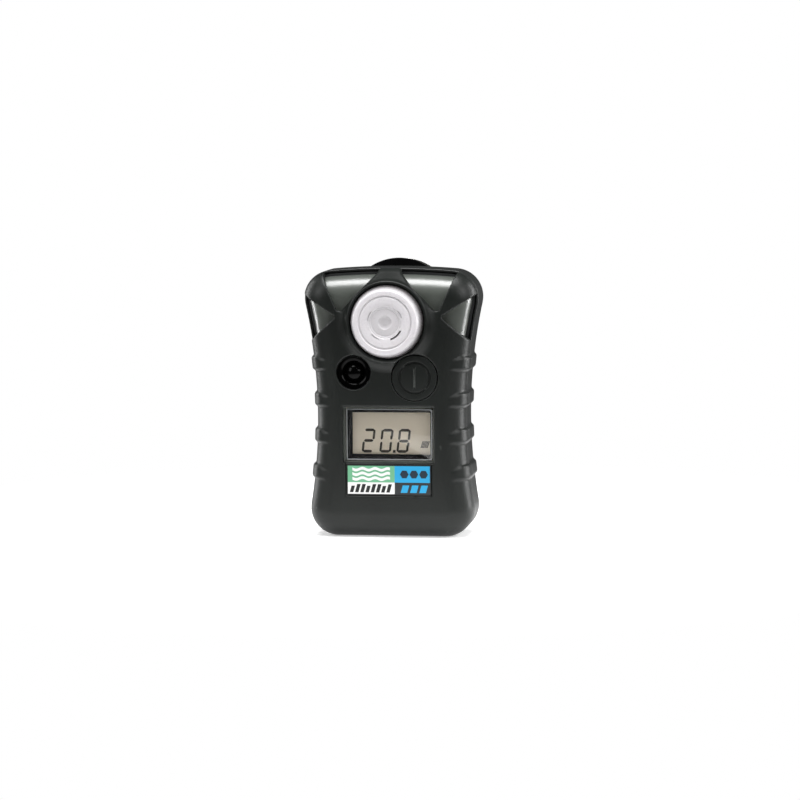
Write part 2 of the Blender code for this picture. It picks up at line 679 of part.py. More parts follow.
def battery_parts(finishes):
    """Lithium cell lying across the case, its cradle and its end contacts."""
    place = (BATTERY_Y, BATTERY_Z)
    r, half = BATTERY_RADIUS, BATTERY_HALF
    nib, shoulder = 3.0, half - 0.6
    cell = [(0, -half), (r - 0.5, -half), (r, -half + 0.5), (r, shoulder - 0.5), (r - 0.5, shoulder)]
    cell += [(nib, shoulder), (nib, half), (0, half)]
    turned("battery_cell", cell, place, "X", finishes["cell_wrap"], 24)
    band = arc(place, r + 1.1, pi / 2, 3 * pi / 2, 12) + arc(place, r + GAP, 3 * pi / 2, pi / 2, 12)
    prism("battery_cradle", band, -half + 0.2, half - 0.8, "X", finishes["abs"])
    for name, sign in (("battery_contact_left", -1), ("battery_contact_right", 1)):
        xs = sorted((sign * (half + GAP), sign * (half + 0.7)))
        box(name, xs, (-3.5, 5.5), (8.5, 23.5), finishes["steel"])


def motor_parts(finishes):
    """Vibration motor, its strap and the off-centre weight on its shaft."""
    place = (MOTOR_Y, MOTOR_Z)
    left, right = MOTOR_X
    nose, bore = 1.2, SHAFT_RADIUS + GAP
    body = [(0, left), (MOTOR_RADIUS, left), (MOTOR_RADIUS, right), (nose, right), (nose, right + 0.6)]
    body += [(bore, right + 0.6), (bore, right - 2.0), (0, right - 2.0)]
    turned("vibration_motor", body, place, "X", finishes["steel"], 24)
    pivot = (right + 3.0, MOTOR_Y, MOTOR_Z)
    ends = (right - 1.7, right + 5.2)
    weight = disc("motor_weight", SHAFT_RADIUS, *ends, place, "X", finishes["steel"], 12, pivot)
    lobe = arc(place, WEIGHT_RADIUS, pi, 2 * pi, 12)
    lobe += [(MOTOR_Y + 0.9, MOTOR_Z + 0.9), (MOTOR_Y - 0.9, MOTOR_Z + 0.9)]
    fuse(weight, prism("guide_weight_lobe", lobe, right + 1.2, right + 4.8, "X"))
    outer, inner = MOTOR_RADIUS + 0.8, MOTOR_RADIUS + GAP
    foot_y = MAIN_BOARD_Y + BOARD_THICK + GAP
    foot_top, reach = foot_y + 0.5, outer + 2.0
    profile = [(foot_y, MOTOR_Z - reach), (foot_top, MOTOR_Z - reach), (foot_top, MOTOR_Z - outer)]
    profile += arc(place, outer, -pi / 2, pi / 2, 10)
    profile += [(foot_top, MOTOR_Z + outer), (foot_top, MOTOR_Z + reach)]
    profile += [(foot_y, MOTOR_Z + reach), (foot_y, MOTOR_Z + inner)]
    profile += arc(place, inner, pi / 2, -pi / 2, 10) + [(foot_y, MOTOR_Z - inner)]
    prism("motor_strap", profile, -9.0, -3.0, "X", finishes["steel"])


# ---------------------------------------------------------------- clip


def plate_outline():
    """Round-topped thumb tab on a straight neck."""
    reach = asin(CLIP_TAB_HALF / CLIP_TAB_RADIUS)
    crown = arc((0, CLIP_TOP_Z - CLIP_TAB_RADIUS), CLIP_TAB_RADIUS, pi / 2 - reach, pi / 2 + reach, 12)
    right = [(CLIP_NECK_HALF, CLIP_LOW_Z), (CLIP_NECK_HALF, CLIP_SHOULDER_Z)]
    right.append((CLIP_TAB_HALF, CLIP_SHOULDER_Z + 4.0))
    return right + crown + [(-x, z) for x, z in reversed(right)]


def pin_way(word):
    """Cutter for the holes that the hinge pin runs in."""
    place = (CLIP_PIVOT_Y, CLIP_PIVOT_Z)
    return disc(f"guide_pin_way_{word}", CLIP_PIN_RADIUS + GAP, -9, 9, place, "X", segments=16)


def clip_base(material):
    """Steel plate with a thumb tab above, two ears for the hinge pin and a countersunk hole."""
    low, high = CLIP_BASE_Y, CLIP_BASE_Y + CLIP_SHEET
    plate = prism("clip_base", plate_outline(), low, high, material=material)
    ears = []
    for word, sign in (("left", -1), ("right", 1)):
        xs = sorted((sign * 7.0, sign * CLIP_NECK_HALF))
        ear = [(low + 0.3, CLIP_PIVOT_Z - 4.5), (CLIP_PIVOT_Y, CLIP_PIVOT_Z - 2.4)]
        ear += arc((CLIP_PIVOT_Y, CLIP_PIVOT_Z), 2.2, -pi / 2, pi / 2, 8)
        ear += [(low + 0.3, CLIP_PIVOT_Z + 4.5)]
        ears.append(prism(f"guide_base_ear_{word}", ear, *xs, "X"))
    fuse(plate, *ears)
    cone = [(0, low - 1), (1.6, low - 1), (1.6, low + 0.2), (3.2, high + 0.4), (0, high + 0.4)]
    return cut(plate, turned("guide_countersink", cone, (0, CLIP_SCREW_Z), segments=20), pin_way("base"))


def clip_lever(material):
    """Sprung arm: thumb tab above the hinge, bowed jaw below it, and two inner ears on the pin."""
    jaw = [(14.3, 37.2), (14.3, 38.6), (15.6, 41.2), (17.9, 45.6), (19.5, 51.0), (19.9, 57.0), (19.8, 62.0)]
    neck = [(19.8, 66.0), (20.2, 70.0), (20.9, 73.5), (21.6, 77.0)]
    path, halves = jaw + neck, [7.0, 7.4, 7.4, 7.0, 6.6, 6.5, 6.5, 6.5, 6.5, 7.0, CLIP_TAB_HALF]
    (start_y, start_z), lean = neck[-1], 0.177
    for fall in (6.6, 4.6, 3.0, 1.7, 0.8, 0.2, 0.0):
        half = sqrt(max(CLIP_TAB_RADIUS**2 - (CLIP_TAB_RADIUS - fall) ** 2, 0.6))
        z = LEVER_TOP_Z - fall
        path.append((start_y + (z - start_z) * lean, z))
        halves.append(min(CLIP_TAB_HALF, half))
    pivot = (0, CLIP_PIVOT_Y, CLIP_PIVOT_Z)
    lever = strip("clip_lever", path, halves, LEVER_SHEET, material, pivot)
    ears = []
    for word, sign in (("left", -1), ("right", 1)):
        xs = sorted((sign * 5.6, sign * 6.4))
        ear = arc((CLIP_PIVOT_Y, CLIP_PIVOT_Z), 2.4, pi / 2, 3 * pi / 2, 8)
        ear += [(19.8, CLIP_PIVOT_Z - 4.5), (20.0, CLIP_PIVOT_Z + 4.0)]
        ears.append(prism(f"guide_lever_ear_{word}", ear, *xs, "X"))
    fuse(lever, *ears)
    return cut(lever, pin_way("lever"))


def clip_spring(material):
    """Torsion spring: five close turns round the pin with a leg on the plate and a leg on the lever."""
    turns, per_turn, radius, wire = 5, 14, 1.9, 0.35
    pitch = 1.05
    start, end = radians(200), radians(200) + 2 * pi * turns + radians(95)
    count = int(turns * per_turn + per_turn / 4)
    length = pitch * turns
    points = []
    for i in range(count + 1):
        angle = start + (end - start) * i / count
        x = -length / 2 + length * i / count
        points.append((x, CLIP_PIVOT_Y + radius * cos(angle), CLIP_PIVOT_Z + radius * sin(angle)))
    first, last = points[0], points[-1]
    plate_leg = (first[0], CLIP_BASE_Y + CLIP_SHEET + wire + GAP, CLIP_PIVOT_Z - 8.0)
    lever_leg = (last[0], 19.0, CLIP_PIVOT_Z - 8.5)
    return tube("clip_spring", [plate_leg] + points + [lever_leg], wire, material)


def clip_parts(finishes):
    """Plate, lever, spring, hinge pin and fixing screw."""
    clip_base(finishes["steel"])
    clip_lever(finishes["steel"])
    clip_spring(finishes["steel"])
    place = (CLIP_PIVOT_Y, CLIP_PIVOT_Z)
    shaft, head, end = CLIP_PIN_RADIUS, 1.7, CLIP_PIN_HALF
    neck = end - 0.6
    pin = [(0, -end), (head, -end), (head, -neck), (shaft, -neck)]
    pin += [(radius, -along) for radius, along in reversed(pin)]
    turned("clip_pin", pin, place, "X", finishes["steel"], 16)
    low, top = CLIP_BASE_Y, CLIP_BASE_Y + CLIP_SHEET - 0.05
    screw = [(0, 7.4), (1.0, 7.4), (1.0, low - 0.1), (1.25, low + 0.1), (2.5, top), (0, top)]
    turned("clip_screw", screw, (0, CLIP_SCREW_Z), material=finishes["steel"], segments=20)


# ---------------------------------------------------------------- assembly


def all_finishes():
    """Every finish by name."""
    return {
        "rubber": finish("black_rubber", (0.026, 0.032, 0.028), 0.55),
        "smoke": finish("smoked_polycarbonate", (0.10, 0.10, 0.095), 0.2, transmission=0.5),
        "abs": finish("black_abs", (0.02, 0.02, 0.02), 0.45),
        "gloss": finish("gloss_black_abs", (0.006, 0.006, 0.006), 0.15),
        "clear": finish("clear_polycarbonate", (0.8, 0.8, 0.8), 0.05, transmission=1.0),
        "foam": finish("black_foam", (0.02, 0.02, 0.02), 0.9),
        "lcd": finish("lcd_glass", (0.35, 0.34, 0.30), 0.3),
        "silver": finish("silvered_film", (0.7, 0.7, 0.7), 0.3, 0.8),
        "label": finish("printed_label", (0.18, 0.41, 0.25), 0.35),
        "paper": finish("printed_film", (0.7, 0.7, 0.68), 0.5),
        "cell": finish("sensor_plastic", (0.75, 0.75, 0.73), 0.5),
        "gold": finish("gold_plate", (0.8, 0.6, 0.25), 0.3, 1.0),
        "filter": finish("white_membrane", (0.85, 0.85, 0.85), 0.8),
        "frosted": finish("frosted_white_plastic", (0.78, 0.78, 0.79), 0.35, transmission=0.3),
        "steel": finish("nickel_steel", (0.6, 0.6, 0.6), 0.25, 1.0),
        "board": finish("green_board", (0.02, 0.12, 0.05), 0.5),
        "chip": finish("chip_epoxy", (0.02, 0.02, 0.022), 0.5),
        "led": finish("red_led", (0.6, 0.05, 0.03), 0.2),
        "cell_wrap": finish("cell_wrap", (0.12, 0.12, 0.14), 0.35),
    }


def build():
    """Clears the scene and models the whole detector."""
    for old in list(bpy.data.objects):
        bpy.data.objects.remove(old, do_unlink=True)
    finishes = all_finishes()
    front_jacket(finishes["rubber"])
    front_housing(finishes["smoke"])
    rear_housing(finishes["abs"])
    case_gasket(finishes["foam"])
    case_screws(finishes["steel"])
    display_parts(finishes)
    labels(finishes)
    sensor_parts(finishes)
    horn_parts(finishes)
    button_parts(finishes)
    boards(finishes)
    battery_parts(finishes)
    motor_parts(finishes)
    clip_parts(finishes)


build()
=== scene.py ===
"""Looks of the pocket gas detector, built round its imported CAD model.

Lengths are in millimetres, and MM turns them into metres as each mesh is made. The case stands on Z = 0, its
front looks along -Y, and each piece takes its place from the CAD node that it stands for.
"""

from __future__ import annotations

import json
import logging
from dataclasses import dataclass
from enum import Enum
from math import atan2, cos, pi, radians, sin, sqrt
from typing import Iterable, Sequence

import bmesh
import bpy
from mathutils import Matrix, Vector

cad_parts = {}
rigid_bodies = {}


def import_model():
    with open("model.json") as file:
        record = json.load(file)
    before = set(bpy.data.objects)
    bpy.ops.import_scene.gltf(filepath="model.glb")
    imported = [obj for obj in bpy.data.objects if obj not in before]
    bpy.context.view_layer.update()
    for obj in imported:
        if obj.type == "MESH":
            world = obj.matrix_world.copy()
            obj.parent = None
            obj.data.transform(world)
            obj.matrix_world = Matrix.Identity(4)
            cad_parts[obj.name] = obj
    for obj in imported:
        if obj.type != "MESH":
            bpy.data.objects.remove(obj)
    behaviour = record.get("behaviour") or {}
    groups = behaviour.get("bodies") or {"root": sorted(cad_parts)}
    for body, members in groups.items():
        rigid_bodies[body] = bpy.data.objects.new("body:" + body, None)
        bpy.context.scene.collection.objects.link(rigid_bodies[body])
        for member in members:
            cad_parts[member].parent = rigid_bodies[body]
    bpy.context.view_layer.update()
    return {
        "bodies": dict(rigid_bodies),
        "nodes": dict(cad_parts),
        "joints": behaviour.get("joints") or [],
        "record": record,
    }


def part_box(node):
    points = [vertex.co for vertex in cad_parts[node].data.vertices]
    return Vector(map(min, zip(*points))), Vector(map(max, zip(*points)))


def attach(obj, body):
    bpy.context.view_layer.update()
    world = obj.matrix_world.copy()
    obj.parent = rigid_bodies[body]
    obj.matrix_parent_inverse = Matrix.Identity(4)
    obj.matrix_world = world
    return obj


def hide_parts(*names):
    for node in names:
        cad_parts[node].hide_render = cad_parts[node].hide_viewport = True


LOG = logging.getLogger("gas_detector")
MM = 0.001
# Nearly every value of a noise pattern lies between these two
NOISE_SPAN = (0.3, 0.7)
# Size of the slow patches that a colour drifts in, in millimetres
DRIFT_MM = 14.0
# Pointiness of an edge where the lighter edge tone starts, and where it is strongest: rubbed wear, and partly
# a painted highlight
WEAR_AND_HIGHLIGHT_SPAN = (0.535, 0.62)
# Spacing of the waviness that a polished mould leaves, in millimetres
MOULD_WAVE_MM = 6.0

Point2 = tuple[float, float]
Point3 = tuple[float, float, float]


class Body(Enum):
    """Rigid bodies of the CAD model."""

    CASE = "case"
    BUTTON = "button"
    PLUNGER = "plunger"
    WEIGHT = "weight"
    CLIP_ARM = "clip_arm"


class Axis(Enum):
    """Axis that a turned or pushed shape runs along, with the order of its coordinates."""

    X = (2, 0, 1)
    Y = (0, 2, 1)
    Z = (0, 1, 2)

    def point(self, a: float, b: float, along: float) -> Point3:
        """A point from two coordinates across the axis, in X, Y, Z order, and one along it."""
        values = (a, b, along)
        return tuple(values[i] for i in self.value)


# ------------------------------------------------------------------------------------------- colour and nodes


def linear(code: str, alpha: float = 1.0) -> tuple[float, float, float, float]:
    """Turns an sRGB hex colour into linear values.

    Args:
        code: six hex digits, such as "#30332F".
        alpha: the fourth value.

    Returns:
        Red, green, blue and alpha, each from 0 to 1.
    """
    channels = [int(code[i : i + 2], 16) / 255 for i in (1, 3, 5)]
    return (*[c / 12.92 if c <= 0.04045 else ((c + 0.055) / 1.055) ** 2.4 for c in channels], alpha)


def add_node(tree: bpy.types.NodeTree, kind: str, inputs: dict | None = None, **settings) -> bpy.types.Node:
    """Adds a node with its settings, values and links.

    Args:
        tree: the shader or geometry tree.
        kind: the node's type name.
        inputs: value or source socket for each input, by its name or index.
        settings: attributes of the node.

    Returns:
        The new node.
    """
    made = tree.nodes.new(kind)
    for key, value in settings.items():
        setattr(made, key, value)
    for key, value in (inputs or {}).items():
        if isinstance(value, bpy.types.NodeSocket):
            tree.links.new(value, made.inputs[key])
        else:
            made.inputs[key].default_value = value
    return made


# --------------------------------------------------------------------------------------------------- finishes


@dataclass(frozen=True)
class Finish:
    """A material made from one real finish: its colour, gloss and the fine pattern of its surface.

    grain_mm is the pattern's real size, grain_depth_mm its height, and tone how much the colour drifts.
    """

    name: str
    colour: str
    roughness: float = 0.5
    metallic: float = 0.0
    ior: float = 1.5
    transmission: float = 0.0
    coat: float = 0.0
    coat_roughness: float = 0.03
    specular: float = 0.5
    # Lighter tone on the sharpest edges: rubbed wear, and partly a painted highlight
    edge_wear_and_highlight: float = 0.0
    worn_and_lit_edge_tone: str = "#565A57"
    grain_mm: float = 0.4
    grain_depth_mm: float = 0.01
    tone: float = 0.08
    gloss_drift: float = 0.06

    def material(self) -> bpy.types.Material:
        """The finish as a material, made once and then shared.

        Returns:
            The material.
        """
        found = bpy.data.materials.get(self.name)
        if found:
            return found
        made = bpy.data.materials.new(self.name)
        made.use_nodes = True
        tree = made.node_tree
        shader = tree.nodes["Principled BSDF"]
        shader.inputs["Base Color"].default_value = linear(self.colour)
        shader.inputs["Metallic"].default_value = self.metallic
        shader.inputs["Roughness"].default_value = self.roughness
        if not self.metallic:
            shader.inputs["IOR"].default_value = self.ior
        shader.inputs["Transmission Weight"].default_value = self.transmission
        shader.inputs["Coat Weight"].default_value = self.coat
        shader.inputs["Coat Roughness"].default_value = self.coat_roughness
        shader.inputs["Specular IOR Level"].default_value = self.specular
        made.diffuse_color = linear(self.colour)
        self.dress(tree, shader)
        return made

    def coordinates(
        self, tree: bpy.types.NodeTree, stretch: Point3 = (1.0, 1.0, 1.0)
    ) -> bpy.types.NodeSocket:
        """Object coordinates in millimetres, stretched along each axis.

        Args:
            tree: the material's tree.
            stretch: how many times coarser the pattern runs along X, Y and Z.

        Returns:
            The vector socket.
        """
        place = add_node(tree, "ShaderNodeTexCoord").outputs["Object"]
        scale = [1 / (MM * s) for s in stretch]
        return add_node(tree, "ShaderNodeMapping", {"Vector": place, "Scale": scale}).outputs[0]

    def relief(
        self, tree: bpy.types.NodeTree, shader: bpy.types.Node, pattern: bpy.types.NodeSocket, strength: float
    ) -> None:
        """Lets a pattern vary the gloss and stand up from the surface by the grain's height.

        Args:
            tree: the material's tree.
            shader: its Principled node.
            pattern: the pattern, from 0 to 1.
            strength: share of the bump that shows.
        """
        low, high = NOISE_SPAN
        gloss = {"Value": pattern, "From Min": low, "From Max": high}
        gloss["To Min"] = max(self.roughness - self.gloss_drift, 0.0)
        gloss["To Max"] = self.roughness + self.gloss_drift
        tree.links.new(add_node(tree, "ShaderNodeMapRange", gloss).outputs[0], shader.inputs["Roughness"])
        bump = {"Height": pattern, "Strength": strength, "Distance": self.grain_depth_mm * MM}
        tree.links.new(add_node(tree, "ShaderNodeBump", bump).outputs[0], shader.inputs["Normal"])

    def dress(self, tree: bpy.types.NodeTree, shader: bpy.types.Node) -> None:
        """Adds the grain: a bump at its real size, with slow drifts of colour and gloss.

        Args:
            tree: the material's tree.
            shader: its Principled node.
        """
        place, (low, high) = self.coordinates(tree), NOISE_SPAN
        grain = {"Vector": place, "Scale": 1 / self.grain_mm, "Detail": 3.0, "Roughness": 0.6}
        fine = add_node(tree, "ShaderNodeTexNoise", grain).outputs["Fac"]
        patches = {"Vector": place, "Scale": 1 / DRIFT_MM, "Detail": 2.0}
        slow = add_node(tree, "ShaderNodeTexNoise", patches).outputs["Fac"]
        span = {"Value": slow, "From Min": low, "From Max": high}
        span["To Min"], span["To Max"] = 1 - self.tone, 1 + self.tone
        drift = add_node(tree, "ShaderNodeMapRange", span).outputs[0]
        tint = {"Color": linear(self.colour), "Value": drift}
        colour = add_node(tree, "ShaderNodeHueSaturation", tint).outputs[0]
        if self.edge_wear_and_highlight:
            colour = self.wear_and_highlight_edges(tree, colour, fine)
        tree.links.new(colour, shader.inputs["Base Color"])
        self.relief(tree, shader, fine, strength=0.6)

    def wear_and_highlight_edges(
        self, tree: bpy.types.NodeTree, colour: bpy.types.NodeSocket, grain: bpy.types.NodeSocket
    ) -> bpy.types.NodeSocket:
        """Lightens the outer edges, broken up by the grain: rubbed wear from handling, and partly a painted
        highlight along them.

        Args:
            tree: the material's tree.
            colour: the colour before its edges are lightened.
            grain: the fine pattern, from 0 to 1.

        Returns:
            The colour with its wear and painted edge highlight.
        """
        # Rubbed wear and painted highlight: lighter where the surface bends sharply outwards
        bend = add_node(tree, "ShaderNodeNewGeometry").outputs["Pointiness"]
        start, full = WEAR_AND_HIGHLIGHT_SPAN
        outer = {"Value": bend, "From Min": start, "From Max": full, "To Max": self.edge_wear_and_highlight}
        edge = add_node(tree, "ShaderNodeMapRange", outer).outputs[0]
        spread = {"Value": grain, "From Min": 0.35, "From Max": 0.6, "To Min": 0.4}
        broken = add_node(tree, "ShaderNodeMapRange", spread).outputs[0]
        share = add_node(tree, "ShaderNodeMath", {0: edge, 1: broken}, operation="MULTIPLY").outputs[0]
        layers = {0: share, 6: colour, 7: linear(self.worn_and_lit_edge_tone)}
        return add_node(tree, "ShaderNodeMix", layers, data_type="RGBA").outputs[2]


@dataclass(frozen=True)
class BrushedMetal(Finish):
    """Rolled or brushed sheet metal: a grain drawn out along one axis."""

    metallic: float = 1.0
    stretch: Point3 = (1.0, 1.0, 12.0)

    def dress(self, tree: bpy.types.NodeTree, shader: bpy.types.Node) -> None:
        """Adds long fine scratches that catch the light across the grain.

        Args:
            tree: the material's tree.
            shader: its Principled node.
        """
        place = self.coordinates(tree, self.stretch)
        scratches = {"Vector": place, "Scale": 1 / self.grain_mm, "Detail": 4.0, "Roughness": 0.7}
        lines = add_node(tree, "ShaderNodeTexNoise", scratches).outputs["Fac"]
        self.relief(tree, shader, lines, strength=0.4)


@dataclass(frozen=True)
class FrostedPolymer(Finish):
    """Milky moulded polymer: light goes a little way in and comes out soft."""

    depth_mm: float = 2.0
    weight: float = 0.8

    def dress(self, tree: bpy.types.NodeTree, shader: bpy.types.Node) -> None:
        """Adds scatter under the surface to the grain.

        Args:
            tree: the material's tree.
            shader: its Principled node.
        """
        Finish.dress(self, tree, shader)
        shader.inputs["Subsurface Weight"].default_value = self.weight
        shader.inputs["Subsurface Radius"].default_value = (1.0, 0.95, 0.9)
        shader.inputs["Subsurface Scale"].default_value = self.depth_mm * MM


@dataclass(frozen=True)
class Polished(Finish):
    """A clear part from a polished mould, with no grain."""

    wave_depth_mm: float = 0.01

    def dress(self, tree: bpy.types.NodeTree, shader: bpy.types.Node) -> None:
        """Leaves the polish, with a faint waviness from the mould.

        Args:
            tree: the material's tree.
            shader: its Principled node.
        """
        wave = {"Vector": self.coordinates(tree), "Scale": 1 / MOULD_WAVE_MM, "Detail": 1.0}
        height = add_node(tree, "ShaderNodeTexNoise", wave).outputs["Fac"]
        bump = {"Height": height, "Strength": 0.2, "Distance": self.wave_depth_mm * MM}
        tree.links.new(add_node(tree, "ShaderNodeBump", bump).outputs[0], shader.inputs["Normal"])


@dataclass(frozen=True)
class ShadePaintedPolymer(FrostedPolymer):
    """Frosted polymer, white on its face, with painted shade that greys its skirt from the face back to the
    dark seat.
    """

    # Colour of the painted shade at the seat, and the Y span over which the shade comes in
    skirt: str = "#4E4B4C"
    face_y_mm: float = -18.95
    seat_y_mm: float = -15.8

    def dress(self, tree: bpy.types.NodeTree, shader: bpy.types.Node) -> None:
        """Adds painted shade, darkening the colour from the face back to the seat.

        Args:
            tree: the material's tree.
            shader: its Principled node.
        """
        FrostedPolymer.dress(self, tree, shader)
        white = shader.inputs["Base Color"].links[0].from_socket
        place = add_node(tree, "ShaderNodeTexCoord").outputs["Object"]
        y = add_node(tree, "ShaderNodeSeparateXYZ", {0: place}).outputs["Y"]
        limits = {"Value": y, "From Min": self.face_y_mm * MM, "From Max": self.seat_y_mm * MM}
        depth = add_node(tree, "ShaderNodeMapRange", limits).outputs[0]
        # Painted shade: the white goes over to the skirt colour with depth along Y
        layers = {0: depth, 6: white, 7: linear(self.skirt)}
        shaded_colour = add_node(tree, "ShaderNodeMix", layers, data_type="RGBA")
        tree.links.new(shaded_colour.outputs[2], shader.inputs["Base Color"])


class Finishes:
    """Every finish on the detector, named for what the real one is."""

    # Moulded elastomer, spark-eroded tool: near-black, soft wide highlights
    JACKET = Finish(
        "moulded_black_elastomer",
        "#131614",
        0.42,
        ior=1.45,
        specular=0.35,
        edge_wear_and_highlight=0.25,
        grain_mm=0.5,
        grain_depth_mm=0.055,
        tone=0.16,
    )
    # The same elastomer in the button, a little drier from use
    BUTTON = Finish(
        "moulded_button_elastomer",
        "#131614",
        0.45,
        ior=1.45,
        specular=0.32,
        edge_wear_and_highlight=0.5,
        grain_mm=0.35,
        tone=0.1,
    )
    # Glass-filled ABS from a textured tool: a little greyer and drier than the jacket
    REAR_CASE = Finish(
        "textured_black_abs",
        "#161817",
        0.44,
        specular=0.4,
        edge_wear_and_highlight=0.1,
        grain_mm=0.5,
        grain_depth_mm=0.05,
    )
    # ABS from a plain tool, for the parts inside: darker and smoother
    INNER_ABS = Finish("moulded_black_abs", "#0E0F10", 0.42, specular=0.3, grain_mm=0.5, grain_depth_mm=0.01)
    # Tinted polycarbonate from a satin tool: dark green-grey, with broad soft reflections and some depth
    SMOKED = Finish(
        "smoked_polycarbonate",
        "#656A64",
        0.34,
        ior=1.58,
        transmission=0.5,
        coat=1.0,
        coat_roughness=0.3,
        grain_mm=0.45,
        grain_depth_mm=0.012,
        tone=0.1,
    )
    # Black ABS from a polished tool: a small hard highlight and nothing else
    GLOSS = Finish(
        "polished_black_abs",
        "#020202",
        0.14,
        specular=0.08,
        grain_mm=3.0,
        grain_depth_mm=0.004,
        gloss_drift=0.02,
    )
    # Frosted polypropylene cap: bright and milky with a soft sheen, with painted shade greying its skirt
    # towards the seat
    CAP = ShadePaintedPolymer(
        "frosted_white_polypropylene",
        "#D6D3D6",
        0.3,
        ior=1.49,
        grain_mm=0.8,
        tone=0.02,
        depth_mm=0.8,
        weight=0.35,
    )
    # Clear polycarbonate, polished: the glass of the display shows through sharply
    LENS = Polished("clear_polycarbonate_lens", "#FFFFFF", 0.03, ior=1.58, transmission=1.0)
    # Ground edge of the lens: frosty, catching light as a thin line
    GROUND_EDGE = Finish(
        "ground_polycarbonate_edge", "#B8BBBC", 0.35, ior=1.58, grain_mm=0.2, grain_depth_mm=0.01
    )
    # Charcoal moulding between the lens and the glass: satin, a little lighter than the case
    WELL = Finish(
        "charcoal_moulded_well", "#131416", 0.3, specular=0.3, grain_mm=0.4, grain_depth_mm=0.004, tone=0.05
    )
    # Screen inks on polycarbonate film: flat, even colour with a satin sheen
    MASK = Finish("black_screen_ink", "#0B0C0C", 0.35, grain_mm=0.2, grain_depth_mm=0.004)
    GREEN = Finish("green_screen_ink", "#63A27D", 0.34, grain_mm=0.25, grain_depth_mm=0.004, tone=0.03)
    BLUE = Finish("blue_screen_ink", "#1D93C4", 0.34, grain_mm=0.25, grain_depth_mm=0.004, tone=0.03)
    WHITE = Finish("white_screen_ink", "#DCDCDA", 0.36, grain_mm=0.25, grain_depth_mm=0.004, tone=0.02)
    CHARCOAL = Finish("charcoal_screen_ink", "#1E2224", 0.36, grain_mm=0.25, grain_depth_mm=0.004, tone=0.03)
    NAVY = Finish("dark_blue_screen_ink", "#08202F", 0.36, grain_mm=0.25, grain_depth_mm=0.004, tone=0.03)
    # Reflective liquid-crystal cell: warm grey with no shine of its own, and dark where it is switched on
    LCD = Finish(
        "reflective_liquid_crystal",
        "#EDE2CE",
        0.42,
        specular=0.2,
        grain_mm=0.15,
        grain_depth_mm=0.002,
        tone=0.03,
    )
    SEGMENT = Finish(
        "liquid_crystal_segment", "#3F3B33", 0.45, specular=0.2, grain_mm=0.15, grain_depth_mm=0.001
    )
    # Brushed foil behind the cell: even and silvery
    FILM = Finish("brushed_silver_film", "#B9BAB8", 0.38, metallic=0.6, grain_mm=0.3, tone=0.03)
    # Nickel-plated spring steel, tumbled bright: sharp reflections with a faint rolling grain
    NICKEL = BrushedMetal("nickel_plated_spring_steel", "#B9B8B4", 0.16, grain_mm=0.25, grain_depth_mm=0.002)
    # The same steel, coloured nearly black, with a hard sheen
    NEAR_BLACK_STEEL = BrushedMetal("black_oxide_spring_steel", "#1B1B1C", 0.28, metallic=0.9, grain_mm=0.25)
    # Zinc-plated, drawn and gold-plated metals of the small parts, each with its rolling or turning marks
    SCREW = BrushedMetal("zinc_plated_screw_steel", "#A9AAA8", 0.3, grain_mm=0.2, stretch=(1.0, 6.0, 1.0))
    CAN = BrushedMetal("drawn_steel_can", "#B4B3AF", 0.3, grain_mm=0.3, stretch=(10.0, 1.0, 1.0))
    GOLD = BrushedMetal("gold_plated_contact", "#D9A94E", 0.25, grain_mm=0.2, stretch=(1.0, 6.0, 1.0))
    # Woven wire cloth, coloured near-black as painted shade for the deep horn throat, so that no light comes
    # back from it
    THROAT_SHADE_CLOTH = Finish(
        "blackened_wire_cloth", "#060606", 0.6, specular=0.2, grain_mm=0.2, grain_depth_mm=0.05
    )
    # Soft seals: open matt foam, and silicone with a dull sheen
    FOAM = Finish("closed_cell_foam", "#232425", 0.85, grain_mm=0.35, grain_depth_mm=0.08, tone=0.15)
    SEAL = Finish("moulded_silicone_seal", "#1E1F20", 0.5, grain_mm=0.6)
    # Sintered white film: dead matt
    MEMBRANE = Finish(
        "porous_white_membrane", "#E9E9E6", 0.85, grain_mm=0.12, grain_depth_mm=0.03, tone=0.03
    )
    # Off-white moulded body of the gas cell
    SENSOR = Finish("moulded_sensor_plastic", "#D6D5CF", 0.42, grain_mm=0.6)
    # Circuit boards and what stands on them: green lacquer, matt black epoxy, red diffused epoxy
    SOLDER_MASK = Finish("green_solder_mask", "#1C5A38", 0.32, grain_mm=0.9, grain_depth_mm=0.02, tone=0.12)
    EPOXY = Finish("moulded_chip_epoxy", "#202124", 0.5, grain_mm=0.15, grain_depth_mm=0.01)
    LED = FrostedPolymer("red_diffused_epoxy", "#C8281E", 0.2, tone=0.03, depth_mm=1.0)
    # Shrunk sleeve on the cell, and the label film on the back
    WRAP = Finish("printed_cell_sleeve", "#2F3550", 0.3, grain_mm=2.0, grain_depth_mm=0.01, tone=0.06)
    PAPER = Finish("silver_grey_label_film", "#BDBEBA", 0.45, grain_mm=0.3, grain_depth_mm=0.006, tone=0.03)


# ------------------------------------------------------------------------------------------------ mesh making


def mesh_object(name: str, points: Iterable[Point3], faces: Iterable[Sequence[int]]) -> bpy.types.Object:
    """An object from points in millimetres, with its faces turned outwards.

    Args:
        name: the object's name.
        points: the vertices.
        faces: the vertex numbers of each face.

    Returns:
        The linked object.
    """
    mesh = bpy.data.meshes.new(name)
    mesh.from_pydata([[c * MM for c in point] for point in points], [], [tuple(face) for face in faces])
    shape = bmesh.new()
    shape.from_mesh(mesh)
    bmesh.ops.remove_doubles(shape, verts=shape.verts, dist=1e-7)
    bmesh.ops.recalc_face_normals(shape, faces=shape.faces)
    shape.to_mesh(mesh)
    shape.free()
    made = bpy.data.objects.new(name, mesh)
    bpy.context.scene.collection.objects.link(made)
    return made


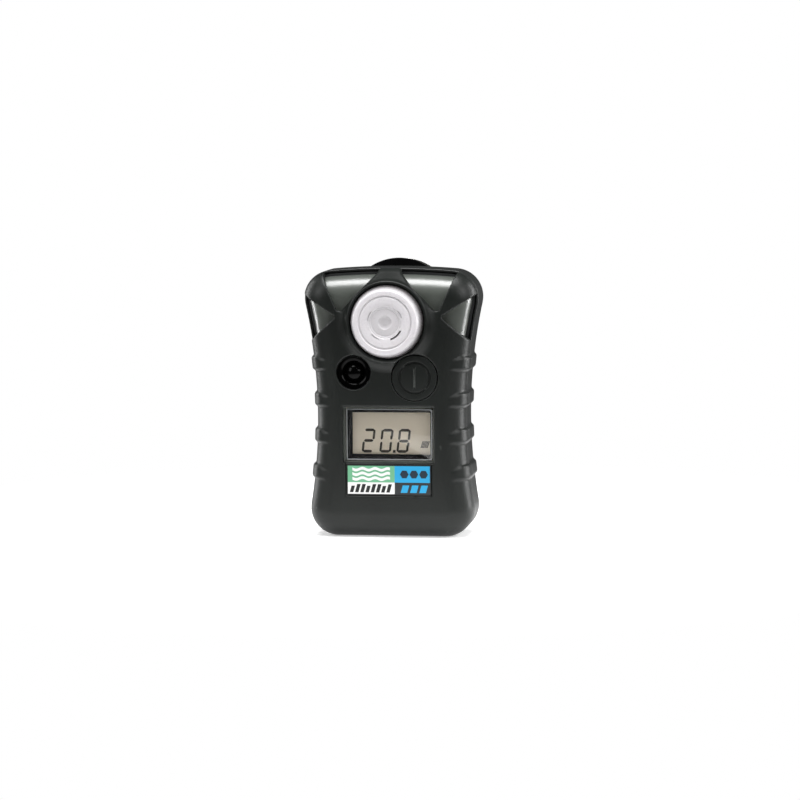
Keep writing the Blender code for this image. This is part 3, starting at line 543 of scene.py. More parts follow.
def loft(name: str, loops: Sequence[Sequence[Point3]], closed: bool = False) -> bpy.types.Object:
    """A skin through loops of equal length.

    Args:
        name: the object's name.
        loops: the loops in order.
        closed: True joins the last loop to the first instead of capping both ends.

    Returns:
        The closed shape.
    """
    count = len(loops[0])
    points = [point for loop in loops for point in loop]
    faces: list[tuple[int, ...]] = []
    if not closed:
        faces = [tuple(range(count)), tuple(range(len(points) - count, len(points)))]
    for row in range(len(loops) if closed else len(loops) - 1):
        low, high = row * count, (row + 1) % len(loops) * count
        faces += [(low + i, low + (i + 1) % count, high + (i + 1) % count, high + i) for i in range(count)]
    return mesh_object(name, points, faces)


def prism(
    name: str, outline: Sequence[Point2], low: float, high: float, axis: Axis = Axis.Y
) -> bpy.types.Object:
    """An outline pushed along an axis from low to high."""
    return loft(name, [[axis.point(a, b, c) for a, b in outline] for c in (low, high)])


def turned(
    name: str, profile: Sequence[Point2], centre: Point2, axis: Axis = Axis.Y, segments: int = 96
) -> bpy.types.Object:
    """A closed profile turned once round an axis.

    Args:
        name: the object's name.
        profile: (radius, place along the axis) round the section.
        centre: the axis's other two coordinates.
        axis: its direction.
        segments: steps round.

    Returns:
        The turned shape.
    """
    points: list[Point3] = []
    rings: list[list[int]] = []
    for radius, along in profile:
        ring = []
        for i in range(segments if radius > 1e-6 else 1):
            angle = 2 * pi * i / segments
            ring.append(len(points))
            points.append(axis.point(centre[0] + radius * cos(angle), centre[1] + radius * sin(angle), along))
        rings.append(ring)
    whole = all(len(ring) > 1 for ring in rings)
    faces = []
    for k in range(len(rings) if whole else len(rings) - 1):
        one, two = rings[k], rings[(k + 1) % len(rings)]
        for i in range(segments):
            j = (i + 1) % segments
            corners = (one[i % len(one)], one[j % len(one)], two[j % len(two)], two[i % len(two)])
            face = tuple(dict.fromkeys(corners))
            if len(face) > 2:
                faces.append(face)
    return mesh_object(name, points, faces)


def rounded(
    profile: Sequence[Point2], radius: float, steps: int = 4, hold: Sequence[int] = ()
) -> list[Point2]:
    """Rounds the corners of an open or closed line of points.

    Args:
        profile: the corners; ends on the axis are kept.
        radius: the rounding, cut down where a side is short.
        steps: straight pieces in each rounding.
        hold: numbers of corners to keep sharp.

    Returns:
        The rounded line.
    """
    count = len(profile)
    result: list[Point2] = []
    for i, corner in enumerate(profile):
        before, after = Vector(profile[i - 1]), Vector(profile[(i + 1) % count])
        here = Vector(corner)
        back, ahead = before - here, after - here
        reach = min(radius, back.length * 0.45, ahead.length * 0.45)
        if i in hold or reach < 1e-4 or corner[0] < 1e-6:
            result.append(corner)
            continue
        start, end = here + back.normalized() * reach, here + ahead.normalized() * reach
        for k in range(steps + 1):
            t = k / steps
            point = start * (1 - t) ** 2 + here * 2 * t * (1 - t) + end * t**2
            result.append((point.x, point.y))
    return result


def rectangle(left: float, right: float, low: float, high: float) -> list[Point2]:
    """The four corners of a rectangle."""
    return [(left, low), (right, low), (right, high), (left, high)]


def arc(centre: Point2, radius: float, start: float, end: float, steps: int) -> list[Point2]:
    """Points on a circle from start to end, in radians, both ends included."""
    angles = [start + (end - start) * i / steps for i in range(steps + 1)]
    return [(centre[0] + radius * cos(a), centre[1] + radius * sin(a)) for a in angles]


def smooth_path(points: Sequence[Point2], steps: int = 5) -> list[Point2]:
    """A curve through every point.

    Args:
        points: the points to pass through.
        steps: pieces between two points.

    Returns:
        The finer line.
    """
    line = [Vector(p) for p in points]
    line = [line[0] * 2 - line[1], *line, line[-1] * 2 - line[-2]]
    result = []
    for i in range(1, len(line) - 2):
        a, b, c, d = line[i - 1 : i + 3]
        for k in range(steps):
            t = k / steps
            square, cube = a * 2 - b * 5 + c * 4 - d, b * 3 - a - c * 3 + d
            point = (b * 2 + (c - a) * t + square * t**2 + cube * t**3) / 2
            result.append((point.x, point.y))
    return result + [tuple(points[-1])]


def apply_modifiers(piece: bpy.types.Object) -> bpy.types.Object:
    """Bakes the modifiers into the mesh and takes them off."""
    graph = bpy.context.evaluated_depsgraph_get()
    mesh = bpy.data.meshes.new_from_object(piece.evaluated_get(graph))
    piece.modifiers.clear()
    piece.data = mesh
    return piece


def combine(piece: bpy.types.Object, tools: Sequence[bpy.types.Object], operation: str) -> bpy.types.Object:
    """One Boolean step with every tool at once.

    Args:
        piece: the shape that is kept.
        tools: the other shapes, removed afterwards.
        operation: "UNION" or "DIFFERENCE".

    Returns:
        The piece.
    """
    group = bpy.data.collections.new(f"tools_{piece.name}")
    bpy.context.scene.collection.children.link(group)
    for tool in tools:
        group.objects.link(tool)
    step = piece.modifiers.new("Boolean", "BOOLEAN")
    step.operation = operation
    step.solver = "EXACT"
    step.operand_type = "COLLECTION"
    step.collection = group
    apply_modifiers(piece)
    for tool in tools:
        bpy.data.objects.remove(tool, do_unlink=True)
    bpy.data.collections.remove(group)
    return piece


def join(name: str, parts: Sequence[bpy.types.Object]) -> bpy.types.Object:
    """Several shapes as the bodies of one mesh, keeping their materials.

    Args:
        name: the new object's name.
        parts: the shapes, removed afterwards.

    Returns:
        The joined object.
    """
    materials: list[bpy.types.Material] = []
    shape = bmesh.new()
    for part in parts:
        start = len(shape.faces)
        shape.from_mesh(part.data)
        shape.faces.ensure_lookup_table()
        slots = []
        for material in part.data.materials:
            if material not in materials:
                materials.append(material)
            slots.append(materials.index(material))
        for face in shape.faces[start:]:
            face.material_index = slots[face.material_index] if slots else 0
    mesh = bpy.data.meshes.new(name)
    shape.to_mesh(mesh)
    shape.free()
    for material in materials:
        mesh.materials.append(material)
    for part in parts:
        bpy.data.objects.remove(part, do_unlink=True)
    made = bpy.data.objects.new(name, mesh)
    bpy.context.scene.collection.objects.link(made)
    return made


def mould(piece: bpy.types.Object, voxel: float, passes: int, keep: float = 1.0) -> bpy.types.Object:
    """Gives a cut shape the even, softly rounded edges of a moulding.

    Args:
        piece: a closed shape.
        voxel: the new skin's grid, in millimetres, which is also about its edge radius.
        passes: smoothing passes.
        keep: share of the triangles kept.

    Returns:
        The piece.
    """
    grid = piece.modifiers.new("Skin", "REMESH")
    grid.mode = "VOXEL"
    grid.voxel_size = voxel * MM
    grid.use_smooth_shade = True
    soften = piece.modifiers.new("Soften", "SMOOTH")
    soften.factor = 0.5
    soften.iterations = passes
    if keep < 1:
        thin = piece.modifiers.new("Thin", "DECIMATE")
        thin.ratio = keep
    return apply_modifiers(piece)


def bevel(piece: bpy.types.Object, width: float, segments: int = 2, angle: float = 35.0) -> bpy.types.Object:
    """Rounds every edge sharper than angle by width, in millimetres."""
    step = piece.modifiers.new("Edges", "BEVEL")
    step.width = width * MM
    step.segments = segments
    step.limit_method = "ANGLE"
    step.angle_limit = radians(angle)
    step.harden_normals = False
    return apply_modifiers(piece)


def shade(piece: bpy.types.Object, angle: float = 30.0) -> bpy.types.Object:
    """Smooth shading with edges sharper than angle kept crisp."""
    piece.data.shade_smooth()
    piece.data.set_sharp_from_angle(angle=radians(angle))
    return piece


@dataclass(frozen=True)
class Place:
    """The box of a CAD node, in millimetres."""

    low: Vector
    high: Vector

    @classmethod
    def of(cls, node: str) -> Place:
        """The box of a node by name."""
        low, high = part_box(node)
        return cls(low / MM, high / MM)

    @property
    def centre(self) -> Vector:
        """Middle of the box."""
        return (self.low + self.high) / 2


def fit(
    piece: bpy.types.Object, body: Body, nodes: Sequence[str] = (), finish: Finish | None = None
) -> bpy.types.Object:
    """Puts a finished piece on its body and hides the CAD nodes that it replaces.

    Args:
        piece: the finished piece, in place.
        body: the body that it moves with.
        nodes: CAD nodes that it replaces.
        finish: its finish, where it has only one.

    Returns:
        The piece.
    """
    if finish:
        piece.data.materials.clear()
        piece.data.materials.append(finish.material())
    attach(piece, body.value)
    if nodes:
        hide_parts(*nodes)
    LOG.info("%s: %d faces on %s", piece.name, len(piece.data.polygons), body.value)
    return piece


# --------------------------------------------------------------------------------------------- geometry nodes


class NodeShape:
    """A Geometry Nodes tree with named inputs, run once on an object and turned into a plain mesh."""

    def __init__(self, name: str) -> None:
        """Starts an empty tree with a geometry input and output.

        Args:
            name: the tree's name.
        """
        self.tree = bpy.data.node_groups.new(name, "GeometryNodeTree")
        self.tree.interface.new_socket("Geometry", in_out="INPUT", socket_type="NodeSocketGeometry")
        self.tree.interface.new_socket("Geometry", in_out="OUTPUT", socket_type="NodeSocketGeometry")
        self.entry = self.tree.nodes.new("NodeGroupInput")
        self.identifiers: dict[str, str] = {}

    def add(self, kind: str, inputs: dict | None = None, **settings) -> bpy.types.Node:
        """Adds one node to the tree."""
        return add_node(self.tree, kind, inputs, **settings)

    def value(self, name: str, kind: str = "NodeSocketFloat") -> bpy.types.NodeSocket:
        """A named input of the tree.

        Args:
            name: the input's name.
            kind: its socket type.

        Returns:
            The socket that carries it.
        """
        made = self.tree.interface.new_socket(name, in_out="INPUT", socket_type=kind)
        self.identifiers[name] = made.identifier
        return self.entry.outputs[name]

    def maths(self, operation: str, *values: float | bpy.types.NodeSocket) -> bpy.types.NodeSocket:
        """One arithmetic step on numbers or sockets."""
        return self.add("ShaderNodeMath", dict(enumerate(values)), operation=operation).outputs[0]

    def finish(self, geometry: bpy.types.NodeSocket) -> None:
        """Ends the tree: instances made real, then the material set.

        Args:
            geometry: the socket that carries the shape.
        """
        material = self.value("Material", "NodeSocketMaterial")
        real = self.add("GeometryNodeRealizeInstances", {"Geometry": geometry})
        dressed = self.add("GeometryNodeSetMaterial", {"Geometry": real.outputs[0], "Material": material})
        self.add("NodeGroupOutput", {"Geometry": dressed.outputs[0]})

    def run(self, name: str, values: dict[str, object]) -> bpy.types.Object:
        """Runs the tree on an empty mesh.

        Args:
            name: the new object's name.
            values: a value for each named input.

        Returns:
            The shape as a plain mesh object.
        """
        made = bpy.data.objects.new(name, bpy.data.meshes.new(name))
        bpy.context.scene.collection.objects.link(made)
        step = made.modifiers.new("Shape", "NODES")
        step.node_group = self.tree
        for key, value in values.items():
            step[self.identifiers[key]] = value
        return apply_modifiers(made)


# ------------------------------------------------------------------------------------------------------- case


@dataclass(frozen=True)
class CaseForm:
    """The case's outline and roundings, in millimetres."""

    height: float
    front_y: float
    back_y: float
    waist_half: float = 23.9
    waist_z: float = 38.5
    side_radius: float = 165.0
    corner_radius: float = 9.0
    crown_radius: float = 250.0
    parting_y: float = -5.0
    front_round: float = 8.5
    back_round: float = 4.0
    jacket_wall: float = 1.7
    housing_wall: float = 1.6
    rear_wall: float = 2.2
    gap: float = 0.3

    @classmethod
    def from_frame(cls) -> CaseForm:
        """Takes the case's height and depth from its CAD nodes."""
        rear = Place.of("rear_housing")
        return cls(height=rear.high.z, front_y=Place.of("front_label").low.y - 0.25, back_y=rear.high.y)

    def side_x(self, z: float) -> float:
        """Half width of the case between its corners, at height z."""
        return self.waist_half + self.side_radius - sqrt(self.side_radius**2 - (z - self.waist_z) ** 2)

    def front_at(self, x: float, z: float) -> float:
        """Where the front surface lies along Y, on the flat face and the curve under the crown.

        Args:
            x: place across the case.
            z: height.

        Returns:
            The surface's Y.
        """
        crown = self.height - self.crown_radius + sqrt(self.crown_radius**2 - x**2)
        reach = max(0.0, min(self.front_round - 0.3, z - crown + self.front_round))
        return self.front_y + self.front_round - sqrt(self.front_round**2 - reach**2)

    def outline(self, inset: float = 0.0, fine: int = 1) -> list[Point2]:
        """Points round the case, drawn in by inset.

        Args:
            inset: distance inside the outer line.
            fine: how many times finer than the plainest outline.

        Returns:
            (x, z) points; each inset gives the same number.
        """
        side = (self.waist_half + self.side_radius, self.waist_z)
        reach = self.side_radius + self.corner_radius
        bottom = (side[0] - sqrt(reach**2 - (side[1] - self.corner_radius) ** 2), self.corner_radius)
        crown = (0.0, self.height - self.crown_radius)
        crown_reach = self.crown_radius - self.corner_radius
        apart = sqrt(side[0] ** 2 + (side[1] - crown[1]) ** 2)
        along = (crown_reach**2 - reach**2 + apart**2) / (2 * apart)
        across = sqrt(crown_reach**2 - along**2)
        ux, uz = side[0] / apart, (side[1] - crown[1]) / apart
        top = (along * ux - across * uz, crown[1] + along * uz + across * ux)
        corner = self.corner_radius - inset
        low_angle = atan2(side[1] - bottom[1], side[0] - bottom[0])
        high_angle = atan2(side[1] - top[1], side[0] - top[0])
        crown_angle = atan2(top[1] - crown[1], top[0])
        half = arc(bottom, corner, -pi / 2, low_angle, 5 * fine)
        half += arc(side, self.side_radius + inset, pi + low_angle, pi + high_angle, 8 * fine)[1:]
        half += arc(top, corner, high_angle, crown_angle, 5 * fine)[1:]
        half += arc(crown, self.crown_radius - inset, crown_angle, pi / 2, 3 * fine)[1:]
        return half + [(-x, z) for x, z in reversed(half[:-1])]

    def loops(
        self, inset: float, start_y: float, end_y: float, round_in: float, steps: int
    ) -> list[list[Point3]]:
        """Case loops from a straight start to a rounded end.

        Args:
            inset: distance inside the outer line at the start.
            start_y: where the rounding starts.
            end_y: where it ends.
            round_in: how far the last loop comes in.
            steps: loops after the first.

        Returns:
            The loops in order.
        """
        loops = []
        for i in range(steps + 1):
            turn = pi / 2 * i / steps
            y = start_y + (end_y - start_y) * sin(turn)
            loops.append([(x, y, z) for x, z in self.outline(inset + round_in * (1 - cos(turn)), fine=3)])
        return loops

    def front_shell(self, name: str, skin: float, wall: float) -> bpy.types.Object:
        """An open shell on the front half, from skin to skin + wall inside the outer surface."""
        outer = self.loops(skin, self.parting_y, self.front_y + skin, self.front_round - skin, 14)
        deep = skin + wall
        inner = self.loops(deep, self.parting_y, self.front_y + deep, self.front_round - deep, 8)
        return loft(name, inner[::-1] + outer)


@dataclass
class GripRibs:
    """Raised bands on both sides that fade out on the front and back roundings."""

    form: CaseForm
    first: float = 21.2
    pitch: float = 11.5
    count: int = 4
    height: float = 4.3
    end_height: float = 2.2
    rise: float = 0.85
    sink: float = 0.7
    corner: float = 0.45
    # Degrees round the case's edge: where a rib ends, and where it starts and finishes fading
    front_turn: Point3 = (84.0, 34.0, 80.0)
    rear_turn: Point3 = (70.0, 5.0, 68.0)

    def band(self, sign: int, rear: bool) -> bpy.types.Object:
        """One rib about its own place on the side, at height 0.

        Args:
            sign: 1 on the right, -1 on the left.
            rear: True for the rear half.

        Returns:
            The rib's closed shape.
        """
        form = self.form
        depth = form.back_round if rear else form.parting_y - form.front_y
        round_in = form.back_round if rear else form.front_round
        base = form.back_y - form.back_round if rear else form.parting_y
        last, fade_start, fade_end = self.rear_turn if rear else self.front_turn
        stations: list[tuple[float | None, float]] = [(form.parting_y + form.gap, 0.0)] if rear else []
        stations += [(None, radians(last) * i / 18) for i in range(19)]
        loops = []
        for fixed, turn in stations:
            share = (turn - radians(fade_start)) / radians(fade_end - fade_start)
            share = 1 - max(0.0, min(1.0, share))
            share = share * share * (3 - 2 * share)
            rise = self.rise * share - 0.25 * (1 - share)
            high = -self.height / 2 + self.end_height + (self.height - self.end_height) * share
            section = []
            corner = min(self.corner, max(rise, 0.05))
            for reach, level in (
                (-self.sink, -self.height / 2 - 0.15),
                (rise - corner, -self.height / 2 - 0.1),
                (rise, -self.height / 2 + corner),
                (rise, high - corner),
                (rise - corner, high + 0.1),
                (-self.sink, high + 0.15),
            ):
                x = -round_in + (round_in + reach) * cos(turn)
                y = base + (1 if rear else -1) * (depth + reach) * sin(turn)
                section.append((sign * x, fixed if fixed is not None else y, level))
            loops.append(section)
        return loft(f"rib_{sign}_{rear}", loops)

    def tree(self) -> NodeShape:
        """Geometry Nodes that set ribs at even heights along the hollow curve of one side."""
        shape = NodeShape("grip_ribs")
        rib = shape.value("Rib", "NodeSocketObject")
        count = shape.value("Count", "NodeSocketInt")
        first, pitch = shape.value("First Height"), shape.value("Pitch")
        waist, waist_z = shape.value("Waist Half Width"), shape.value("Waist Height")
        radius, side = shape.value("Side Radius"), shape.value("Side")
        start = shape.add("ShaderNodeCombineXYZ", {"Z": first}).outputs[0]
        step = shape.add("ShaderNodeCombineXYZ", {"Z": pitch}).outputs[0]
        line = shape.add("GeometryNodeMeshLine", {"Count": count, "Start Location": start, "Offset": step})
        place = shape.add("GeometryNodeInputPosition").outputs[0]
        z = shape.add("ShaderNodeSeparateXYZ", {0: place}).outputs["Z"]
        climb = shape.maths("SUBTRACT", z, waist_z)
        inside = shape.maths("SUBTRACT", shape.maths("POWER", radius, 2.0), shape.maths("POWER", climb, 2.0))
        hollow = shape.maths("SUBTRACT", radius, shape.maths("SQRT", inside))
        x = shape.maths("MULTIPLY", shape.maths("ADD", waist, hollow), side)
        spot = shape.add("ShaderNodeCombineXYZ", {"X": x, "Z": z}).outputs[0]
        moved = shape.add("GeometryNodeSetPosition", {"Geometry": line.outputs[0], "Position": spot})
        lean = shape.maths("MULTIPLY", shape.maths("ARCSINE", shape.maths("DIVIDE", climb, radius)), side)
        turn = shape.add("ShaderNodeCombineXYZ", {"Y": lean}).outputs[0]
        source = shape.add("GeometryNodeObjectInfo", {"Object": rib}, transform_space="RELATIVE")
        copies = shape.add(
            "GeometryNodeInstanceOnPoints",
            {"Points": moved.outputs[0], "Instance": source.outputs["Geometry"], "Rotation": turn},
        )
        shape.finish(copies.outputs[0])
        return shape

    def make(self, rear: bool) -> list[bpy.types.Object]:
        """The ribs of both sides on one half of the case, as Boolean tools.

        Args:
            rear: True for the rear half.

        Returns:
            One object for each side.
        """
        tools = []
        for sign in (-1, 1):
            rib = self.band(sign, rear)
            tools.append(
                self.tree().run(
                    f"ribs_{sign}",
                    {
                        "Rib": rib,
                        "Count": self.count,
                        "First Height": self.first * MM,
                        "Pitch": self.pitch * MM,
                        "Waist Half Width": self.form.waist_half * MM,
                        "Waist Height": self.form.waist_z * MM,
                        "Side Radius": self.form.side_radius * MM,
                        "Side": float(sign),
                        "Material": Finishes.JACKET.material(),
                    },
                )
            )
            bpy.data.objects.remove(rib, do_unlink=True)
        return tools


@dataclass
class FrontJacket:
    """Rubber overmould with the sensor boss, the ribs and every front opening."""

    form: CaseForm
    ribs: GripRibs
    boss_front: float = -15.2
    boss_radius: float = 12.6
    horn_radius: float = 5.5
    display_lip: float = 0.9
    label_rise: float = 1.4
    label_depth: float = 0.8
    top_window: tuple[Point2, ...] = (
        (2.9, 90.0), (25.6, 90.0), (21.5, 84.4), (16.4, 72.7), (14.9, 72.7), (3.7, 84.6)
    )
    side_window: tuple[Point2, ...] = (
        (17.2, 70.4), (25.2, 63.3), (32.0, 57.4), (32.0, 80.6), (28.4, 78.1), (17.2, 71.2)
    )

    def window_tools(self) -> list[bpy.types.Object]:
        """Cutters for the two top and two side openings over the smoked housing."""
        tools = []
        for sign in (-1, 1):
            for outline in (self.top_window, self.side_window):
                flipped = [(sign * x, z) for x, z in outline]
                tools.append(prism("window", flipped, self.form.front_y - 4, self.form.parting_y + 1))
        return tools

    def boss(self) -> bpy.types.Object:
        """The collar round the sensor cap, flared into the front face and the curve above it."""
        centre_z, steps = Place.of("sensor_cap").centre.z, 96
        # Radius of each ring, and how far it stands in front of the face
        rings = [(11.0, -0.9), (16.4, -0.9), (16.4, -0.02), (15.2, 0.25), (14.2, 0.8), (13.5, 1.4)]
        loops = []
        for radius, proud in rings:
            circle = arc((0.0, centre_z), radius, 0.0, 2 * pi, steps)[:-1]
            loops.append([(x, self.form.front_at(x, z) - proud, z) for x, z in circle])
        for radius, y in ((13.0, self.boss_front + 0.2), (self.boss_radius, self.boss_front)):
            circle = arc((0.0, centre_z), radius, 0.0, 2 * pi, steps)[:-1]
            loops.append([(x, y, z) for x, z in circle])
        return loft("boss", loops)

    def opening_tools(self) -> list[bpy.types.Object]:
        """Cutters for the cap, horn, button, display and label."""
        y = self.form.front_y
        through = (y - 5, y + 4)
        cap, horn, button = Place.of("sensor_cap"), Place.of("horn_funnel"), Place.of("power_button")
        frame, label, gap = Place.of("lcd_frame"), Place.of("front_label"), self.form.gap
        bores = [
            (cap, (cap.high.x - cap.low.x) / 2 + gap),
            (horn, self.horn_radius),
            (button, (button.high.x - button.low.x) / 2 + gap),
        ]
        tools = [
            turned(
                "bore",
                [(0, through[0]), (radius, through[0]), (radius, through[1]), (0, through[1])],
                (place.centre.x, place.centre.z),
                segments=64,
            )
            for place, radius in bores
        ]
        half, lip = frame.high.x - self.display_lip, self.display_lip
        view = rectangle(-half, half, frame.low.z + lip, frame.high.z - lip)
        tools.append(prism("display_way", view, *through))
        top = frame.low.z + self.label_rise
        recess = rectangle(label.low.x - gap, label.high.x + gap, label.low.z - gap, top)
        tools.append(prism("label_way", recess, y - 1, y + self.label_depth))
        return tools

    def make(self) -> bpy.types.Object:
        """Builds the jacket.

        Returns:
            The fitted piece.
        """
        jacket = self.form.front_shell("jacket_skin", 0.0, self.form.jacket_wall)
        combine(jacket, [self.boss(), *self.ribs.make(rear=False)], "UNION")
        combine(jacket, self.window_tools() + self.opening_tools(), "DIFFERENCE")
        mould(jacket, voxel=0.3, passes=3, keep=0.55)
        return fit(jacket, Body.CASE, ["front_jacket"], Finishes.JACKET)


@dataclass
class FrontHousing:
    """Smoked shell under the jacket, seen through the windows."""

    form: CaseForm
    collar_wall: float = 0.9
    collar_rear: float = -9.6
    cell_way_rear: float = -5.0
    way_rear: float = -8.5
    horn_way: float = 4.0
    stem_way: float = 2.6

    def make(self) -> bpy.types.Object:
        """Builds the shell with its sensor collar and front openings.

        Returns:
            The fitted piece.
        """
        form = self.form
        skin = form.jacket_wall + form.gap
        housing = form.front_shell("smoked_housing", skin, form.housing_wall)
        cap, horn, button = Place.of("sensor_cap"), Place.of("horn_funnel"), Place.of("power_button")
        window = Place.of("display_window")
        centre = (0.0, cap.centre.z)
        collar_front, well = cap.high.y + form.gap, Place.of("sensor_body").high.x + form.gap
        rim = well + self.collar_wall
        collar = [(0, collar_front), (rim, collar_front), (rim, self.collar_rear), (0, self.collar_rear)]
        combine(housing, [turned("collar", collar, centre)], "UNION")
        tools, ahead = [], form.front_y - 5
        for radius, place, deep in (
            (well, centre, self.cell_way_rear),
            (self.horn_way, (horn.centre.x, horn.centre.z), self.way_rear),
            (self.stem_way, (button.centre.x, button.centre.z), self.way_rear),
        ):
            tools.append(turned("way", [(0, ahead), (radius, ahead), (radius, deep), (0, deep)], place))
        low, high, gap = window.low, window.high, form.gap
        hole = rectangle(low.x - gap, high.x + gap, low.z - gap, high.z + gap)
        tools.append(prism("window_way", hole, ahead, self.way_rear))
        combine(housing, tools, "DIFFERENCE")
        shade(housing)
        return fit(housing, Body.CASE, ["front_housing"], Finishes.SMOKED)


@dataclass
class RearShell:
    """Rear shell with its ribs, screw seats and label recess."""

    form: CaseForm
    ribs: GripRibs
    rebate: float = 0.9
    head_radius: float = 2.6
    head_depth: float = 1.6
    shank_radius: float = 1.45
    shank_front: float = -2.0
    label_gap: float = 0.3
    label_depth: float = 0.5

    def make(self) -> bpy.types.Object:
        """Builds the shell.

        Returns:
            The fitted piece.
        """
        form = self.form
        rim = form.parting_y + form.gap
        start = form.back_y - form.back_round
        outer = [[(x, rim, z) for x, z in form.outline(0.0, fine=3)]]
        outer += [[(x, y, z) for x, z in form.outline(0.0, fine=3)] for y in (rim + 4, rim + 8)]
        outer += form.loops(0.0, start, form.back_y, form.back_round, 10)
        wall = form.rear_wall
        inner = [[(x, rim, z) for x, z in form.outline(wall, fine=3)]]
        inner += form.loops(wall, start, form.back_y - wall, form.back_round - wall, 4)
        shell = loft("rear_shell", inner[::-1] + outer)
        combine(shell, self.ribs.make(rear=True), "UNION")
        step = form.outline(self.rebate, fine=3)
        tools = [loft("rebate", [[(x, y, z) for x, z in step] for y in (rim - 1, rim + self.rebate)])]
        for i in range(1, 5):
            screw = Place.of(f"case_screw_{i}")
            seats = ((self.head_radius, form.back_y - self.head_depth), (self.shank_radius, self.shank_front))
            for radius, low in seats:
                profile = [(0, low), (radius, low), (radius, form.back_y + 2), (0, form.back_y + 2)]
                tools.append(turned("screw_seat", profile, (screw.centre.x, screw.centre.z), segments=48))
        label, gap = Place.of("rear_label"), self.label_gap
        recess = rectangle(label.low.x - gap, label.high.x + gap, label.low.z - gap, label.high.z + gap)
        tools.append(prism("label_seat", recess, form.back_y - self.label_depth, form.back_y + 1))
        combine(shell, tools, "DIFFERENCE")
        mould(shell, voxel=0.32, passes=3, keep=0.45)
        return fit(shell, Body.CASE, ["rear_housing"], Finishes.REAR_CASE)


# --------------------------------------------------------------------------------------------- front fittings


@dataclass
class SensorCap:
    """Frosted cap over the gas cell: a flared skirt, stepped rings, a dimple and curved gas slots."""

    slot_radius: float = 5.55
    slot_width: float = 0.62
    slot_depth: float = 2.2
    groove_width: float = 0.35
    groove_depth: float = 0.5
    slots: tuple[Point2, ...] = ((-72, -27),)
    grooves: tuple[Point2, ...] = ((142, 174), (16, 42), (222, 250))

    def band(self, name: str, angles: Point2, width: float, low: float, high: float) -> bpy.types.Object:
        """A curved bar round the cap's axis.

        Args:
            name: the object's name.
            angles: where it starts and ends, in degrees.
            width: its width across the ring.
            low: its front end along Y.
            high: its rear end along Y.

        Returns:
            The bar.
        """
        centre = (0.0, Place.of("sensor_cap").centre.z)
        start, end = radians(angles[0]), radians(angles[1])
        outer = arc(centre, self.slot_radius + width / 2, start, end, 14)
        inner = arc(centre, self.slot_radius - width / 2, end, start, 14)
        return prism(name, outer + inner, low, high)

    def make(self) -> bpy.types.Object:
        """Builds the cap.

        Returns:
            The fitted piece.
        """
        place = Place.of("sensor_cap")
        front, rear, radius = place.low.y, place.high.y, place.high.x
        skirt = [(10.3, rear), (radius, rear), (radius, front + 4.2), (radius - 0.6, front + 2.2)]
        skirt += [(radius - 1.1, front + 0.8), (radius - 1.5, front + 0.08), (8.7, front)]
        rings = [(8.5, front + 0.4), (8.1, front + 0.4), (7.9, front + 0.1), (6.4, front + 0.12)]
        rings += [(5.2, front + 0.28), (5.0, front + 0.5), (4.65, front + 0.5), (4.4, front + 0.7)]
        rings += [(2.2, front + 0.5), (1.9, front + 0.75), (1.2, front + 0.95), (0, front + 1.0)]
        inside = [(0, front + 1.6), (8.9, front + 1.6), (9.8, front + 2.6)]
        # The skirt's inner corner and both points on the axis stay sharp
        on_axis = len(skirt + rings) - 1
        line = rounded(skirt + rings + inside, 0.24, hold=(0, on_axis, on_axis + 1))
        start = line.index((0, front + 1.6))
        cap = turned("gas_cap", line[start:] + line[:start], (0.0, place.centre.z), segments=128)
        cuts = [("slot", angles, self.slot_width, self.slot_depth) for angles in self.slots]
        cuts += [("groove", angles, self.groove_width, self.groove_depth) for angles in self.grooves]
        tools = [self.band(name, span, width, front - 1, front + deep) for name, span, width, deep in cuts]
        combine(cap, tools, "DIFFERENCE")
        shade(cap, 40)
        return fit(cap, Body.CASE, ["sensor_cap"], Finishes.CAP)


@dataclass
class HornPort:
    """Glossy funnel that leads to the sounder, with a polished dome in its throat."""

    bore: float = 3.1
    mouth_round: float = 1.8
    flange: float = 1.6
    pipe_wall: float = 0.6
    dome_radius: float = 3.3
    dome_gap: float = 0.25

    def make(self) -> bpy.types.Object:
        """Builds the funnel and its dome.

        Returns:
            The fitted piece.
        """
        place = Place.of("horn_funnel")
        front, rear, radius = place.low.y, place.high.y, (place.high.x - place.low.x) / 2
        centre = (place.centre.x, place.centre.z)
        mouth, pipe, seat = self.mouth_round, self.bore + self.pipe_wall, front + self.flange
        curve = arc((self.bore + mouth, front + 2.2), mouth, pi, 1.5 * pi, 10)
        line = [(radius, front + 0.1), (radius, seat), (pipe, seat), (pipe, rear)]
        line += [(self.bore, rear), *curve, (radius - 0.3, front + 0.15)]
        reach = self.bore - self.dome_gap
        radii = [reach * k / 12 for k in range(13)]
        cover = [(r, front + self.dome_radius - sqrt(self.dome_radius**2 - r**2)) for r in radii]
        dome = turned("dome", [*cover, (reach, rear - 0.1), (0, rear - 0.1)], centre, segments=64)
        funnel = join("horn_funnel_ring", [turned("funnel", line, centre), dome])
        shade(funnel)
        return fit(funnel, Body.CASE, ["horn_funnel"], Finishes.GLOSS)


